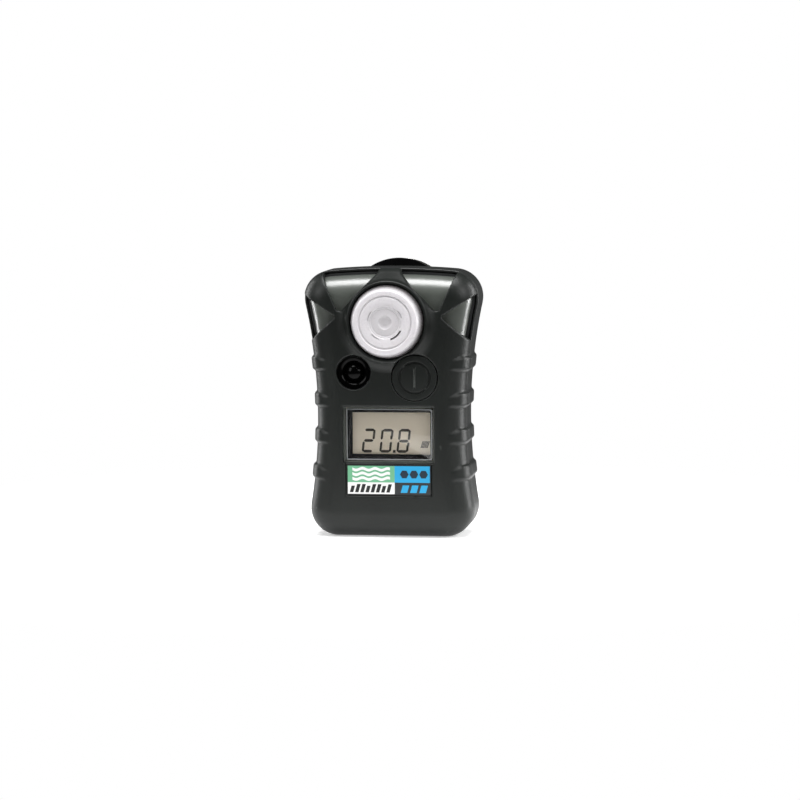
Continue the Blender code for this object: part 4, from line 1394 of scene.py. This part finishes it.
@dataclass
class PushButton:
    """Moulded button face with a pressed ring, a raised bar and its stem."""

    ring: float = 4.9
    ring_width: float = 0.75
    ring_depth: float = 0.45
    bar_half: float = 0.42
    bar_half_tall: float = 3.0
    bar_rise: float = 0.14
    below_flush: float = 0.35

    def make(self) -> bpy.types.Object:
        """Builds the button.

        Returns:
            The fitted piece.
        """
        place = Place.of("power_button")
        rear, radius = place.high.y, (place.high.x - place.low.x) / 2
        front = place.low.y + self.below_flush
        x, z = place.centre.x, place.centre.z
        edge, inner = self.ring + self.ring_width / 2, self.ring - self.ring_width / 2
        floor = front + self.ring_depth
        line = [(0, rear), (2.1, rear), (2.1, front + 1.2), (radius, front + 1.2), (radius, front)]
        line += [(edge, front), (edge, floor), (inner, floor), (inner, front), (0, front)]
        face = turned("button_face", rounded(line, 0.22), (x, z))
        half, tall = self.bar_half, self.bar_half_tall
        outline = rectangle(x - half, x + half, z - tall, z + tall)
        bar = bevel(prism("button_bar", outline, front - self.bar_rise, front + 0.6), 0.2, 3)
        combine(face, [bar], "UNION")
        shade(face, 35)
        return fit(face, Body.BUTTON, ["power_button"], Finishes.BUTTON)


class Segment(Enum):
    """The seven bars of a digit, each named for its place."""

    TOP = "a"
    TOP_RIGHT = "b"
    LOW_RIGHT = "c"
    BOTTOM = "d"
    LOW_LEFT = "e"
    TOP_LEFT = "f"
    MIDDLE = "g"


DIGITS = {"0": "abcdef", "2": "abged", "8": "abcdefg"}


@dataclass
class Display:
    """Lens, well behind it, liquid-crystal cell and its reading."""

    reading_text: str = "208"
    digit_wide: float = 3.8
    digit_tall: float = 7.7
    level_stroke: float = 0.86
    upright_stroke: float = 0.72
    crack: float = 0.12
    slant: float = 0.115
    digit_lefts: tuple[float, ...] = (-9.25, -3.55, 1.95)
    digit_base: float = 27.2
    dot_back: float = 1.1
    icon_place: Point2 = (10.1, 30.0)
    icon_strokes: int = 6
    icon_size: Point2 = (2.4, 2.2)
    ink: float = 0.03
    ground_edge: float = 0.36
    ground_depth: float = 0.25
    well_sides: tuple[float, float, float, float] = (-12.0, 13.0, 26.75, 40.2)

    def segment(self, which: Segment) -> list[Point2]:
        """One bar of an upright digit with its corner at the origin.

        Args:
            which: the bar.

        Returns:
            Its outline, with bevelled ends.
        """
        wide, tall, half = self.digit_wide, self.digit_tall, self.digit_tall / 2
        level, upright = self.level_stroke, self.upright_stroke
        heights = {Segment.TOP: tall - level / 2, Segment.BOTTOM: level / 2, Segment.MIDDLE: half}
        if which in heights:
            z, tip = heights[which], level / 2
            left, right = self.crack + upright * 0.35, wide - self.crack - upright * 0.35
            outline = [(left, z), (left + tip, z - tip), (right - tip, z - tip)]
            return outline + [(right, z), (right - tip, z + tip), (left + tip, z + tip)]
        x = upright / 2 if which in (Segment.TOP_LEFT, Segment.LOW_LEFT) else wide - upright / 2
        low, high = (half, tall) if which in (Segment.TOP_LEFT, Segment.TOP_RIGHT) else (0.0, half)
        low, high, tip = low + self.crack + level * 0.2, high - self.crack - level * 0.2, upright / 2
        outline = [(x, low), (x + tip, low + tip), (x + tip, high - tip)]
        return outline + [(x, high), (x - tip, high - tip), (x - tip, low + tip)]

    def printed(self, left: float, outline: Sequence[Point2], y: float) -> bpy.types.Object:
        """A leaning patch of dark crystal, from its upright outline.

        Args:
            left: where the digit starts.
            outline: the patch in an upright digit.
            y: front face of the glass.

        Returns:
            The patch as a thin solid.
        """
        leaning = [(left + x + z * self.slant, z + self.digit_base) for x, z in outline]
        return prism("bar", leaning, y - self.ink, y)

    def reading(self, y: float) -> list[bpy.types.Object]:
        """The digits and the point of the reading.

        Args:
            y: front face of the glass.

        Returns:
            One thin solid for each bar.
        """
        bars = []
        for left, digit in zip(self.digit_lefts, self.reading_text):
            lit = [which for which in Segment if which.value in DIGITS[digit]]
            bars += [self.printed(left, self.segment(which), y) for which in lit]
        dot = rectangle(-self.dot_back, self.level_stroke - self.dot_back, 0, self.level_stroke)
        return bars + [self.printed(self.digit_lefts[-1], dot, y)]

    def icon(self, y: float) -> bpy.types.Object:
        """A small hatched status square: Geometry Nodes repeat its slanted strokes.

        Args:
            y: front face of the glass.

        Returns:
            The strokes as one mesh.
        """
        shape = NodeShape("status_strokes")
        count = shape.value("Count", "NodeSocketInt")
        start, step = shape.value("Start", "NodeSocketVector"), shape.value("Step", "NodeSocketVector")
        size, lean = shape.value("Stroke", "NodeSocketVector"), shape.value("Lean", "NodeSocketVector")
        line = shape.add("GeometryNodeMeshLine", {"Count": count, "Start Location": start, "Offset": step})
        stroke = shape.add("GeometryNodeMeshCube", {"Size": size})
        copies = {"Points": line.outputs[0], "Instance": stroke.outputs[0], "Rotation": lean}
        shape.finish(shape.add("GeometryNodeInstanceOnPoints", copies).outputs[0])
        pitch = self.icon_size[0] / self.icon_strokes
        values = {
            "Count": self.icon_strokes,
            "Start": (self.icon_place[0] * MM, (y - self.ink / 2) * MM, self.icon_place[1] * MM),
            "Step": (pitch * MM, 0.0, 0.0),
            "Stroke": (pitch * 0.7 * MM, self.ink * MM, self.icon_size[1] * MM),
            "Lean": (0.0, 0.3, 0.0),
            "Material": Finishes.SEGMENT.material(),
        }
        return shape.run("status_strokes", values)

    def lens(self) -> bpy.types.Object:
        """The clear window with its ground edge.

        Returns:
            The fitted piece.
        """
        window, edge = Place.of("display_window"), self.ground_edge
        loops = []
        for y, inset in ((window.high.y, 0.0), (window.low.y + self.ground_depth, 0.0), (window.low.y, edge)):
            sides = rectangle(
                window.low.x + inset, window.high.x - inset, window.low.z + inset, window.high.z - inset
            )
            loops.append([(x, y, z) for x, z in rounded(sides, 0.6)])
        lens = loft("display_lens", loops)
        lens.data.materials.append(Finishes.LENS.material())
        lens.data.materials.append(Finishes.GROUND_EDGE.material())
        # Faces that lean between the front and the sides are the ground edge
        for face in lens.data.polygons:
            face.material_index = int(0.1 < abs(face.normal.y) < 0.98)
        return fit(shade(lens), Body.CASE, ["display_window"])

    def well(self) -> bpy.types.Object:
        """The charcoal frame between the lens and the glass.

        Returns:
            The fitted piece.
        """
        window, glass = Place.of("display_window"), Place.of("lcd_glass")
        near, far = window.high.y + 0.05, glass.low.y - 0.05
        outline = rectangle(window.low.x, window.high.x, window.low.z, window.high.z)
        well = prism("display_well", outline, near, far)
        hole = rounded(rectangle(*self.well_sides), 0.5)
        combine(well, [prism("well_hole", hole, near - 1, far + 1)], "DIFFERENCE")
        bevel(well, 0.12, 2)
        return fit(shade(well), Body.CASE, ["display_gasket"], Finishes.WELL)

    def make(self) -> None:
        """Builds the lens, the well, the glass and the reading."""
        self.lens()
        self.well()
        glass = Place.of("lcd_glass")
        outline = rectangle(glass.low.x, glass.high.x, glass.low.z, glass.high.z)
        cell = bevel(prism("liquid_crystal_cell", outline, glass.low.y, glass.high.y), 0.08, 1)
        fit(shade(cell), Body.CASE, ["lcd_glass"], Finishes.LCD)
        front = glass.low.y - 0.005
        bars = join("reading_bars", self.reading(front))
        bars.data.materials.append(Finishes.SEGMENT.material())
        fit(join("lcd_reading", [bars, self.icon(front)]), Body.CASE)


@dataclass
class FrontLabel:
    """Printed panel in four colours with plain generic signs."""

    split_x: float = 0.57
    split_z: float = 0.42
    margin: float = 0.4
    print_height: float = 0.03
    base_depth: float = 0.07
    waves: int = 3
    wave_pitch: float = 1.5
    wave_length: float = 4.1
    wave_height: float = 0.3
    wave_half: float = 0.44
    bars: int = 8
    bar_pitch: float = 1.68
    bar_width: float = 1.12
    bar_foot: float = 0.9
    hexagons: int = 3
    hexagon_pitch: float = 3.1
    hexagon_radius: float = 1.4
    stripes: int = 3
    stripe_pitch: float = 3.0
    stripe_half: float = 1.2

    def panel(self, outline: Sequence[Point2], level: int, finish: Finish) -> bpy.types.Object:
        """One patch of ink.

        Args:
            outline: its edge.
            level: 1 on the base, 2 on another patch.
            finish: the ink.

        Returns:
            The patch.
        """
        front = Place.of("front_label").low.y + self.base_depth
        patch = prism("ink", outline, front - self.print_height * level, front + 0.01)
        patch.data.materials.append(finish.material())
        return patch

    def signs(
        self, left: float, mid_x: float, low: float, mid_z: float, high: float
    ) -> list[bpy.types.Object]:
        """Plain signs with the weight of print on each panel.

        Args:
            left: left edge of the label.
            mid_x: where the left and right panels meet.
            low: bottom edge.
            mid_z: where the upper and lower panels meet.
            high: top edge.

        Returns:
            The patches of ink.
        """
        parts = []
        # Air waves in broad white strokes on the green panel
        for i in range(self.waves):
            z, half = mid_z + 1.2 + self.wave_pitch * i, self.wave_half
            xs = [left + 1.9 + (mid_x - left - 3.4) * k / 32 for k in range(33)]
            crest = [(x, z + self.wave_height * sin(2 * pi * (x - left) / self.wave_length)) for x in xs]
            stroke = [(x, top + half) for x, top in crest] + [(x, top - half) for x, top in reversed(crest)]
            parts.append(self.panel(stroke, 2, Finishes.WHITE))
        # A row of slanted bars on the white panel, every third one shorter
        for i in range(self.bars):
            x, top = left + 1.0 + i * self.bar_pitch, mid_z - (0.55 if i % 3 else 1.1)
            foot, wide = low + self.bar_foot, self.bar_width
            lean = (top - low - self.bar_foot) * 0.28
            bar = [(x, foot), (x + wide, foot), (x + wide + lean, top), (x + lean, top)]
            parts.append(self.panel(bar, 2, Finishes.MASK))
        # A row of equal hexagons on the blue panel
        middle = (mid_z + high - self.margin) / 2
        for i in range(self.hexagons):
            centre = (mid_x + 3.1 + self.hexagon_pitch * i, middle)
            hexagon = arc(centre, self.hexagon_radius, 0.0, 2 * pi, 6)[:-1]
            parts.append(self.panel(hexagon, 2, Finishes.NAVY))
        # Slanted stripes on the dark panel
        for i in range(self.stripes):
            x, z, half = mid_x + 1.9 + i * self.stripe_pitch, (low + mid_z) / 2, self.stripe_half
            bar = [(x, z - half), (x + 2.1, z - half), (x + 2.8, z + half), (x + 0.7, z + half)]
            parts.append(self.panel(bar, 2, Finishes.BLUE))
        return parts

    def make(self) -> bpy.types.Object:
        """Builds the label with its four panels and their signs.

        Returns:
            The fitted piece.
        """
        place, m = Place.of("front_label"), self.margin
        left, right, low, high = place.low.x, place.high.x, place.low.z, place.high.z
        mid_x, mid_z = left + (right - left) * self.split_x, low + (high - low) * self.split_z
        outline = rounded(rectangle(left, right, low, high), 0.7)
        base = prism("label_base", outline, place.low.y + self.base_depth, place.high.y)
        base.data.materials.append(Finishes.MASK.material())
        panels = [
            (rectangle(left + m, mid_x, mid_z, high - m), Finishes.GREEN),
            (rectangle(left + m, mid_x, low + m, mid_z), Finishes.WHITE),
            (rectangle(mid_x, right - m, mid_z, high - m), Finishes.BLUE),
            (rectangle(mid_x, right - m, low + m, mid_z), Finishes.CHARCOAL),
        ]
        parts = [base, *[self.panel(edge, 1, ink) for edge, ink in panels]]
        parts += self.signs(left, mid_x, low, mid_z, high)
        return fit(join("front_print", parts), Body.CASE, ["front_label"])


# ------------------------------------------------------------------------------------------------------- clip


@dataclass
class Clip:
    """Nickel-plated spring clip: base plate, lever, hinge pin, torsion spring and fixing screw."""

    tab_half: float = 10.0
    tab_radius: float = 17.0
    neck_half: float = 7.9
    sheet: float = 1.0
    pivot: Point2 = (17.0, 66.0)
    ear: float = 2.2
    base_ears: Point2 = (7.0, 7.9)
    lever_ears: Point2 = (5.6, 6.4)
    pin_radius: float = 1.0
    pin_gap: float = 0.3
    pin_way_half: float = 9.5
    tab_lean: float = 0.177
    jaw: tuple[Point2, ...] = (
        (14.3, 37.2), (14.3, 38.6), (15.6, 41.2), (17.9, 45.6), (19.5, 51.0), (19.9, 57.0), (19.8, 62.0)
    )
    shoulder: tuple[Point2, ...] = ((19.8, 66.0), (20.2, 70.0), (20.9, 73.5))
    tab_heights: tuple[float, ...] = (77.0, 81.0, 84.0, 85.8, 86.8, 87.3, 87.6)
    tab_foot_y: float = 21.6
    coil_turns: float = 5.0
    coil_radius: float = 1.9
    coil_half: float = 2.6
    wire: float = 0.35
    wire_sides: int = 10

    def tab_half_at(self, fall: float) -> float:
        """Half width of the round tab at a distance below its top."""
        return min(self.tab_half, sqrt(max(self.tab_radius**2 - (self.tab_radius - fall) ** 2, 0.4)))

    def pin_way(self) -> bpy.types.Object:
        """Cutter for the holes that the pin runs in."""
        radius, half = self.pin_radius + self.pin_gap, self.pin_way_half
        line = [(0, -half), (radius, -half), (radius, half), (0, half)]
        return turned("pin_way", line, self.pivot, Axis.X, 32)

    def base(self) -> bpy.types.Object:
        """The plate that is screwed to the case, with its thumb tab and two ears."""
        place = Place.of("clip_base")
        near, top = place.low.y, place.high.z
        neck, low = self.neck_half, place.low.z
        right = [(neck - 0.8, low), (neck, low + 0.8), (neck, 72.0)]
        right += smooth_path([(neck, 72.0), (9.1, 74.2), (self.tab_half, 77.5)], 6)[1:]
        shoulder = self.tab_radius - sqrt(self.tab_radius**2 - self.tab_half**2)
        falls = [shoulder * (1 - k / 24) ** 2 for k in range(25)]
        right += [(self.tab_half_at(fall), top - fall) for fall in falls]
        plate = prism("clip_plate", right + [(-x, z) for x, z in reversed(right)], near, near + self.sheet)
        ears = []
        for sign in (-1, 1):
            xs = sorted(sign * x for x in self.base_ears)
            outline = [(near + 0.3, 61.0), (self.pivot[0] - 1.0, 63.6)]
            outline += arc(self.pivot, self.ear, -pi / 2, pi / 2, 20)
            outline += [(self.pivot[0] - 1.0, 68.4), (near + 0.3, 71.0)]
            ears.append(prism("ear", outline, *xs, Axis.X))
        combine(plate, ears, "UNION")
        sink = [(0, near - 1), (1.6, near - 1), (1.6, near + 0.2), (3.2, near + 1.4), (0, near + 1.4)]
        screw = Place.of("clip_screw")
        combine(plate, [turned("sink", sink, (0, screw.centre.z), segments=48), self.pin_way()], "DIFFERENCE")
        bevel(plate, 0.16, 2, 40)
        return fit(shade(plate, 35), Body.CASE, ["clip_base"], Finishes.NEAR_BLACK_STEEL)

    def lever(self) -> bpy.types.Object:
        """The sprung arm with its thumb tab, bowed jaw and inner ears."""
        tab = [(self.tab_foot_y + self.tab_lean * (z - self.tab_heights[0]), z) for z in self.tab_heights]
        path = smooth_path([*self.jaw, *self.shoulder, *tab], 6)
        top = path[-1][1]
        loops = []
        for i, (y, z) in enumerate(path):
            before, after = path[max(i - 1, 0)], path[min(i + 1, len(path) - 1)]
            along = Vector((after[0] - before[0], after[1] - before[1])).normalized() * 0.45
            half = self.lever_half(z, top)
            near, far = (y + along.y, z - along.x), (y - along.y, z + along.x)
            loops.append([(-half, *near), (half, *near), (half, *far), (-half, *far)])
        lever = loft("clip_arm_plate", loops)
        ears = []
        for sign in (-1, 1):
            xs = sorted(sign * x for x in self.lever_ears)
            outline = arc(self.pivot, 2.4, pi / 2, 1.5 * pi, 20) + [(19.8, 61.5), (20.0, 70.0)]
            ears.append(prism("ear", outline, *xs, Axis.X))
        combine(lever, ears, "UNION")
        combine(lever, [self.pin_way()], "DIFFERENCE")
        bevel(lever, 0.16, 2, 40)
        return fit(shade(lever, 35), Body.CLIP_ARM, ["clip_lever"], Finishes.NICKEL)

    def lever_half(self, z: float, top: float) -> float:
        """Half width of the lever at height z.

        Args:
            z: the height.
            top: height of the tab's top.

        Returns:
            The half width in millimetres.
        """
        # Jaw tip, narrowing bow, even neck, then the shoulder out to the tab
        if z < 41:
            return 7.0 + 0.4 * (z - 37.2) / 3.8
        if z < 50:
            return 7.4 - 0.9 * (z - 41) / 9
        if z < 70:
            return 6.5
        if z < 77:
            share = (z - 70) / 7
            return 6.5 + (self.tab_half - 6.5) * share * share * (3 - 2 * share)
        return self.tab_half_at(top - z)

    def spring(self) -> bpy.types.Object:
        """Torsion spring: a Geometry Nodes coil round the pin with its two legs."""
        place = Place.of("clip_spring")
        radius, wire, half = self.coil_radius, self.wire, self.coil_half
        shape = NodeShape("torsion_spring")
        count, width = shape.value("Turns"), shape.value("Width")
        ring, gauge = shape.value("Coil Radius"), shape.value("Wire Radius")
        spot, tilt = shape.value("Place", "NodeSocketVector"), shape.value("Tilt", "NodeSocketVector")
        coil = shape.add(
            "GeometryNodeCurveSpiral",
            {"Resolution": 28, "Rotations": count, "Start Radius": ring, "End Radius": ring, "Height": width},
        )
        moved = shape.add(
            "GeometryNodeTransform", {"Geometry": coil.outputs[0], "Translation": spot, "Rotation": tilt}
        )
        section = shape.add("GeometryNodeCurvePrimitiveCircle", {"Resolution": 10, "Radius": gauge})
        round_wire = shape.add(
            "GeometryNodeCurveToMesh",
            {"Curve": moved.outputs[0], "Profile Curve": section.outputs[0], "Fill Caps": True},
        )
        shape.finish(round_wire.outputs[0])
        coil_mesh = shape.run(
            "torsion_coil",
            {
                "Turns": self.coil_turns,
                "Width": 2 * half * MM,
                "Coil Radius": radius * MM,
                "Wire Radius": wire * MM,
                "Place": (-half * MM, self.pivot[0] * MM, self.pivot[1] * MM),
                "Tilt": (0.0, pi / 2, 0.0),
                "Material": Finishes.NICKEL.material(),
            },
        )
        legs = []
        for x, (y, z) in ((-half, (14.0, place.low.z)), (half, (19.0, place.low.z + 0.4))):
            start, end = Vector((x, self.pivot[0], self.pivot[1] - radius)), Vector((x, y, z + 0.4))
            side = (end - start).normalized()
            across = side.cross(Vector((1, 0, 0))).normalized()
            loops = []
            for point in (start - side * 0.2, end):
                angles = [2 * pi * k / self.wire_sides for k in range(self.wire_sides)]
                rim = [point + Vector((1, 0, 0)) * wire * cos(a) + across * wire * sin(a) for a in angles]
                loops.append([tuple(p) for p in rim])
            leg = loft("leg", loops)
            leg.data.materials.append(Finishes.NICKEL.material())
            legs.append(leg)
        spring = join("clip_torsion_spring", [coil_mesh, *legs])
        return fit(shade(spring, 50), Body.CASE, ["clip_spring"])

    def fixings(self) -> None:
        """The hinge pin with its peened heads and the countersunk screw."""
        head = [(0, -8.85), (1.2, -8.85), (1.7, -8.6), (1.7, -8.2), (1.0, -8.2)]
        line = head + [(r, -x) for r, x in reversed(head)]
        pin = turned("clip_hinge_pin", rounded(line, 0.15), self.pivot, Axis.X, 40)
        fit(shade(pin), Body.CASE, ["clip_pin"], Finishes.NICKEL)
        place = Place.of("clip_screw")
        low, top, z = place.low.y, place.high.y, place.centre.z
        line = [(0, low), (1.0, low), (1.0, top - 1.35), (2.45, top - 0.1), (2.4, top), (0, top)]
        screw = turned("clip_fixing_screw", line, (0, z), segments=48)
        arms = [rectangle(-a, a, z - b, z + b) for a, b in ((0.3, 1.4), (1.4, 0.3))]
        cross = [prism("recess", arm, top - 0.8, top + 1) for arm in arms]
        combine(screw, cross, "DIFFERENCE")
        fit(shade(screw), Body.CASE, ["clip_screw"], Finishes.SCREW)

    def make(self) -> None:
        """Builds every piece of the clip."""
        self.base()
        self.lever()
        self.spring()
        self.fixings()


# ------------------------------------------------------------------------------------------- fasteners, label


@dataclass
class RearPrint:
    """Plain print on the rear label: a frame, ruled lines and a block of bars, with no lettering."""

    inset: float = 1.0
    line: float = 0.25
    ink: float = 0.03
    rules: int = 4
    rule_pitch: float = 1.9
    rule_inset: float = 1.5
    short_rule_inset: float = 6.0
    bars: tuple[float, ...] = (
        0.5, 0.25, 0.25, 0.7, 0.25, 0.5, 0.25, 0.9, 0.25, 0.5, 0.7, 0.25, 0.25, 0.5, 0.9, 0.25
    )
    bar_gap: float = 0.45

    def make(self) -> bpy.types.Object:
        """Builds the print.

        Returns:
            The fitted piece.
        """
        place = Place.of("rear_label")
        left, right = place.low.x + self.inset, place.high.x - self.inset
        low, high, line = place.low.z + self.inset, place.high.z - self.inset, self.line
        patches = [rectangle(left, right, z, z + line) for z in (low, high - line)]
        patches += [rectangle(x, x + line, low + line, high - line) for x in (left, right - line)]
        for i in range(self.rules):
            z = high - 2.2 - i * self.rule_pitch
            end = right - (self.rule_inset if i % 2 else self.short_rule_inset)
            patches.append(rectangle(left + self.rule_inset, end, z, z + 0.5))
        x = left + self.rule_inset
        for width in self.bars:
            patches.append(rectangle(x, x + width, low + 1.4, low + 4.6))
            x += width + self.bar_gap
        # Seen from behind, the print starts on the side of +X
        facing = [[(-x, z) for x, z in patch] for patch in patches]
        back = place.high.y
        prints = join("rear_print", [prism("ink", patch, back - 0.005, back + self.ink) for patch in facing])
        return fit(prints, Body.CASE, finish=Finishes.MASK)


@dataclass
class CaseScrews:
    """Four recessed-drive screws in the back of the case."""

    head_radius: float = 2.3
    head_height: float = 1.1
    shank_radius: float = 1.15
    socket: float = 1.05
    socket_depth: float = 0.75
    lobe: float = 0.16

    def make(self) -> bpy.types.Object:
        """One screw, repeated by Geometry Nodes at each CAD screw's place.

        Returns:
            The fitted piece.
        """
        places = [Place.of(f"case_screw_{i}") for i in range(1, 5)]
        low, high = places[0].low.y, places[0].high.y
        head, shank, under = self.head_radius, self.shank_radius, high - self.head_height
        line = [(0, low), (shank, low + 0.6), (shank, under), (head, under), (head, high - 0.25)]
        line += [(1.9, high), (0, high)]
        screw = turned("screw", rounded(line, 0.15), (0, 0), segments=48)
        # A six-lobed drive
        turns = [(pi * k / 18, self.socket + self.lobe * cos(6 * pi * k / 18)) for k in range(36)]
        star = [(r * cos(a), r * sin(a)) for a, r in turns]
        combine(screw, [prism("drive", star, high - self.socket_depth, high + 1)], "DIFFERENCE")
        shade(screw)
        points = mesh_object("screw_places", [(p.centre.x, 0.0, p.centre.z) for p in places], [])
        shape = NodeShape("case_screws")
        source, spots = shape.value("Screw", "NodeSocketObject"), shape.value("Places", "NodeSocketObject")
        one = shape.add("GeometryNodeObjectInfo", {"Object": source}, transform_space="RELATIVE")
        where = shape.add("GeometryNodeObjectInfo", {"Object": spots}, transform_space="RELATIVE")
        copies = shape.add(
            "GeometryNodeInstanceOnPoints",
            {"Points": where.outputs["Geometry"], "Instance": one.outputs["Geometry"]},
        )
        shape.finish(copies.outputs[0])
        values = {"Screw": screw, "Places": points, "Material": Finishes.SCREW.material()}
        made = shape.run("case_screw_set", values)
        for helper in (screw, points):
            bpy.data.objects.remove(helper, do_unlink=True)
        shade(made)
        return fit(made, Body.CASE, [f"case_screw_{i}" for i in range(1, 5)])


# ----------------------------------------------------------------------------------------- carried-over nodes

NODE_FINISHES: dict[str, Finish] = {
    "case_gasket": Finishes.SEAL,
    "lcd_reflector": Finishes.FILM,
    "contact_strip_lower": Finishes.SEAL,
    "contact_strip_upper": Finishes.SEAL,
    "lcd_frame": Finishes.INNER_ABS,
    "rear_label": Finishes.PAPER,
    "sensor_body": Finishes.SENSOR,
    "sensor_pin_1": Finishes.GOLD,
    "sensor_pin_2": Finishes.GOLD,
    "sensor_pin_3": Finishes.GOLD,
    "sensor_gasket": Finishes.SEAL,
    "dust_filter": Finishes.MEMBRANE,
    "horn_gasket": Finishes.FOAM,
    # Painted shade: the near-black mesh stands for the dark of the deep horn throat
    "horn_mesh": Finishes.THROAT_SHADE_CLOTH,
    "buzzer": Finishes.INNER_ABS,
    "switch_body": Finishes.INNER_ABS,
    "switch_plunger": Finishes.GLOSS,
    "main_board": Finishes.SOLDER_MASK,
    "display_board": Finishes.SOLDER_MASK,
    "board_connector": Finishes.INNER_ABS,
    "controller_chip": Finishes.EPOXY,
    "alarm_led_left": Finishes.LED,
    "alarm_led_right": Finishes.LED,
    "battery_cell": Finishes.WRAP,
    "battery_cradle": Finishes.INNER_ABS,
    "battery_contact_left": Finishes.NICKEL,
    "battery_contact_right": Finishes.NICKEL,
    "vibration_motor": Finishes.CAN,
    "motor_weight": Finishes.SCREW,
    "motor_strap": Finishes.NICKEL,
}


def dress_nodes(nodes: dict[str, bpy.types.Object]) -> None:
    """Gives each CAD node that stays its own finish.

    Args:
        nodes: the CAD nodes by name.
    """
    for name, finish in NODE_FINISHES.items():
        mesh = nodes[name].data
        mesh.materials.clear()
        mesh.materials.append(finish.material())
        LOG.info("%s: %s", name, finish.name)


# ----------------------------------------------------------------------------------------------------- studio


@dataclass
class Studio:
    """Pale floor, soft lights and the camera."""

    azimuth: float = 8.5
    elevation: float = 5.5
    roll: float = -0.4
    distance: float = 1000.0
    focal: float = 140.0
    aim: Point3 = (1.9, 0.0, 43.2)
    surround: float = 0.05
    floor_half: float = 3000.0
    floor_fade: Point2 = (70.0, 200.0)
    floor_glow: float = 0.38
    lamps: tuple[tuple[str, Point3, Point2, float, Point3], ...] = (
        ("top_softbox", (0, -120, 620), (520, 330), 6.0, (0, 0, 60)),
        ("left_softbox", (-430, -350, 300), (260, 320), 1.25, (0, 0, 45)),
        ("right_softbox", (480, -300, 330), (260, 320), 1.8, (0, 0, 45)),
        ("right_rim", (420, 200, 140), (140, 420), 2.0, (0, 0, 45)),
        ("left_rim", (-420, 200, 140), (140, 420), 1.2, (0, 0, 45)),
    )

    def floor(self) -> None:
        """A wide white sheet under the detector that melts into the white surroundings."""
        half = self.floor_half
        square = [(x, z, 0.0) for x, z in rectangle(-half, half, -half, half)]
        sheet = mesh_object("studio_floor", square, [(0, 1, 2, 3)])
        material = bpy.data.materials.new("white_studio_sheet")
        material.use_nodes = True
        tree = material.node_tree
        shader = tree.nodes["Principled BSDF"]
        shader.inputs["Base Color"].default_value = linear("#F4F4F4")
        shader.inputs["Roughness"].default_value = 0.9
        shader.inputs["Specular IOR Level"].default_value = 0.0
        shader.inputs["Emission Color"].default_value = (1.0, 1.0, 1.0, 1.0)
        shader.inputs["Emission Strength"].default_value = self.floor_glow
        place = add_node(tree, "ShaderNodeTexCoord").outputs["Object"]
        reach = add_node(tree, "ShaderNodeVectorMath", {0: place}, operation="LENGTH").outputs["Value"]
        limits = {"Value": reach, "From Min": self.floor_fade[0] * MM, "From Max": self.floor_fade[1] * MM}
        fade = add_node(tree, "ShaderNodeMapRange", limits, interpolation_type="SMOOTHSTEP")
        clear = add_node(tree, "ShaderNodeBsdfTransparent")
        layers = {0: fade.outputs[0], 1: shader.outputs[0], 2: clear.outputs[0]}
        mix = add_node(tree, "ShaderNodeMixShader", layers)
        tree.links.new(mix.outputs[0], tree.nodes["Material Output"].inputs["Surface"])
        sheet.data.materials.append(material)

    def world(self) -> None:
        """White surroundings to the eye, and a dimmer even light on the object."""
        world = bpy.data.worlds.new("studio")
        bpy.context.scene.world = world
        world.use_nodes = True
        tree = world.node_tree
        tree.nodes.clear()
        white = (1.0, 1.0, 1.0, 1.0)
        seen = add_node(tree, "ShaderNodeBackground", {"Color": white, "Strength": 1.0})
        light = add_node(tree, "ShaderNodeBackground", {"Color": white, "Strength": self.surround})
        path = add_node(tree, "ShaderNodeLightPath")
        layers = {0: path.outputs["Is Camera Ray"], 1: light.outputs[0], 2: seen.outputs[0]}
        mix = add_node(tree, "ShaderNodeMixShader", layers)
        add_node(tree, "ShaderNodeOutputWorld", {"Surface": mix.outputs[0]})

    def lamp(self, name: str, place: Point3, size: Point2, power: float, target: Point3) -> None:
        """One soft rectangular light.

        Args:
            name: its name.
            place: where it stands, in millimetres.
            size: width and height.
            power: in watts.
            target: the point that it faces.
        """
        data = bpy.data.lights.new(name, "AREA")
        data.shape = "RECTANGLE"
        data.size, data.size_y = size[0] * MM, size[1] * MM
        data.energy = power
        lamp = bpy.data.objects.new(name, data)
        lamp.location = [c * MM for c in place]
        lamp.rotation_euler = (Vector(target) - Vector(place)).to_track_quat("-Z", "Y").to_euler()
        bpy.context.scene.collection.objects.link(lamp)

    def camera(self) -> None:
        """The camera, aimed at the middle of the detector."""
        data = bpy.data.cameras.new("camera")
        data.lens = self.focal
        data.sensor_width = 36.0
        data.clip_start = 0.01
        camera = bpy.data.objects.new("camera", data)
        az, el = radians(self.azimuth), radians(self.elevation)
        back = Vector((sin(az) * cos(el), -cos(az) * cos(el), sin(el)))
        camera.location = (Vector(self.aim) + back * self.distance) * MM
        camera.rotation_euler = (-back).to_track_quat("-Z", "Y").to_euler()
        camera.rotation_euler.rotate_axis("Z", radians(self.roll))
        bpy.context.scene.collection.objects.link(camera)
        bpy.context.scene.camera = camera

    def make(self) -> None:
        """Sets up the whole studio."""
        self.floor()
        self.world()
        for lamp in self.lamps:
            self.lamp(*lamp)
        self.camera()
        bpy.context.scene.view_settings.view_transform = "Standard"


# --------------------------------------------------------------------------------------------------- assembly


def corners(box: tuple[Vector, Vector]) -> list[list[float]]:
    """A box as plain lists of numbers."""
    return [[round(c, 6) for c in corner] for corner in box]


def main() -> None:
    """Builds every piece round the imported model."""
    logging.basicConfig(level=logging.INFO, format="%(name)s: %(message)s")
    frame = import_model()
    form = CaseForm.from_frame()
    ribs = GripRibs(form)
    FrontJacket(form, ribs).make()
    FrontHousing(form).make()
    RearShell(form, ribs).make()
    SensorCap().make()
    HornPort().make()
    PushButton().make()
    Display().make()
    FrontLabel().make()
    Clip().make()
    CaseScrews().make()
    RearPrint().make()
    dress_nodes(frame["nodes"])
    Studio().make()


if __name__ == "__main__":
    main()
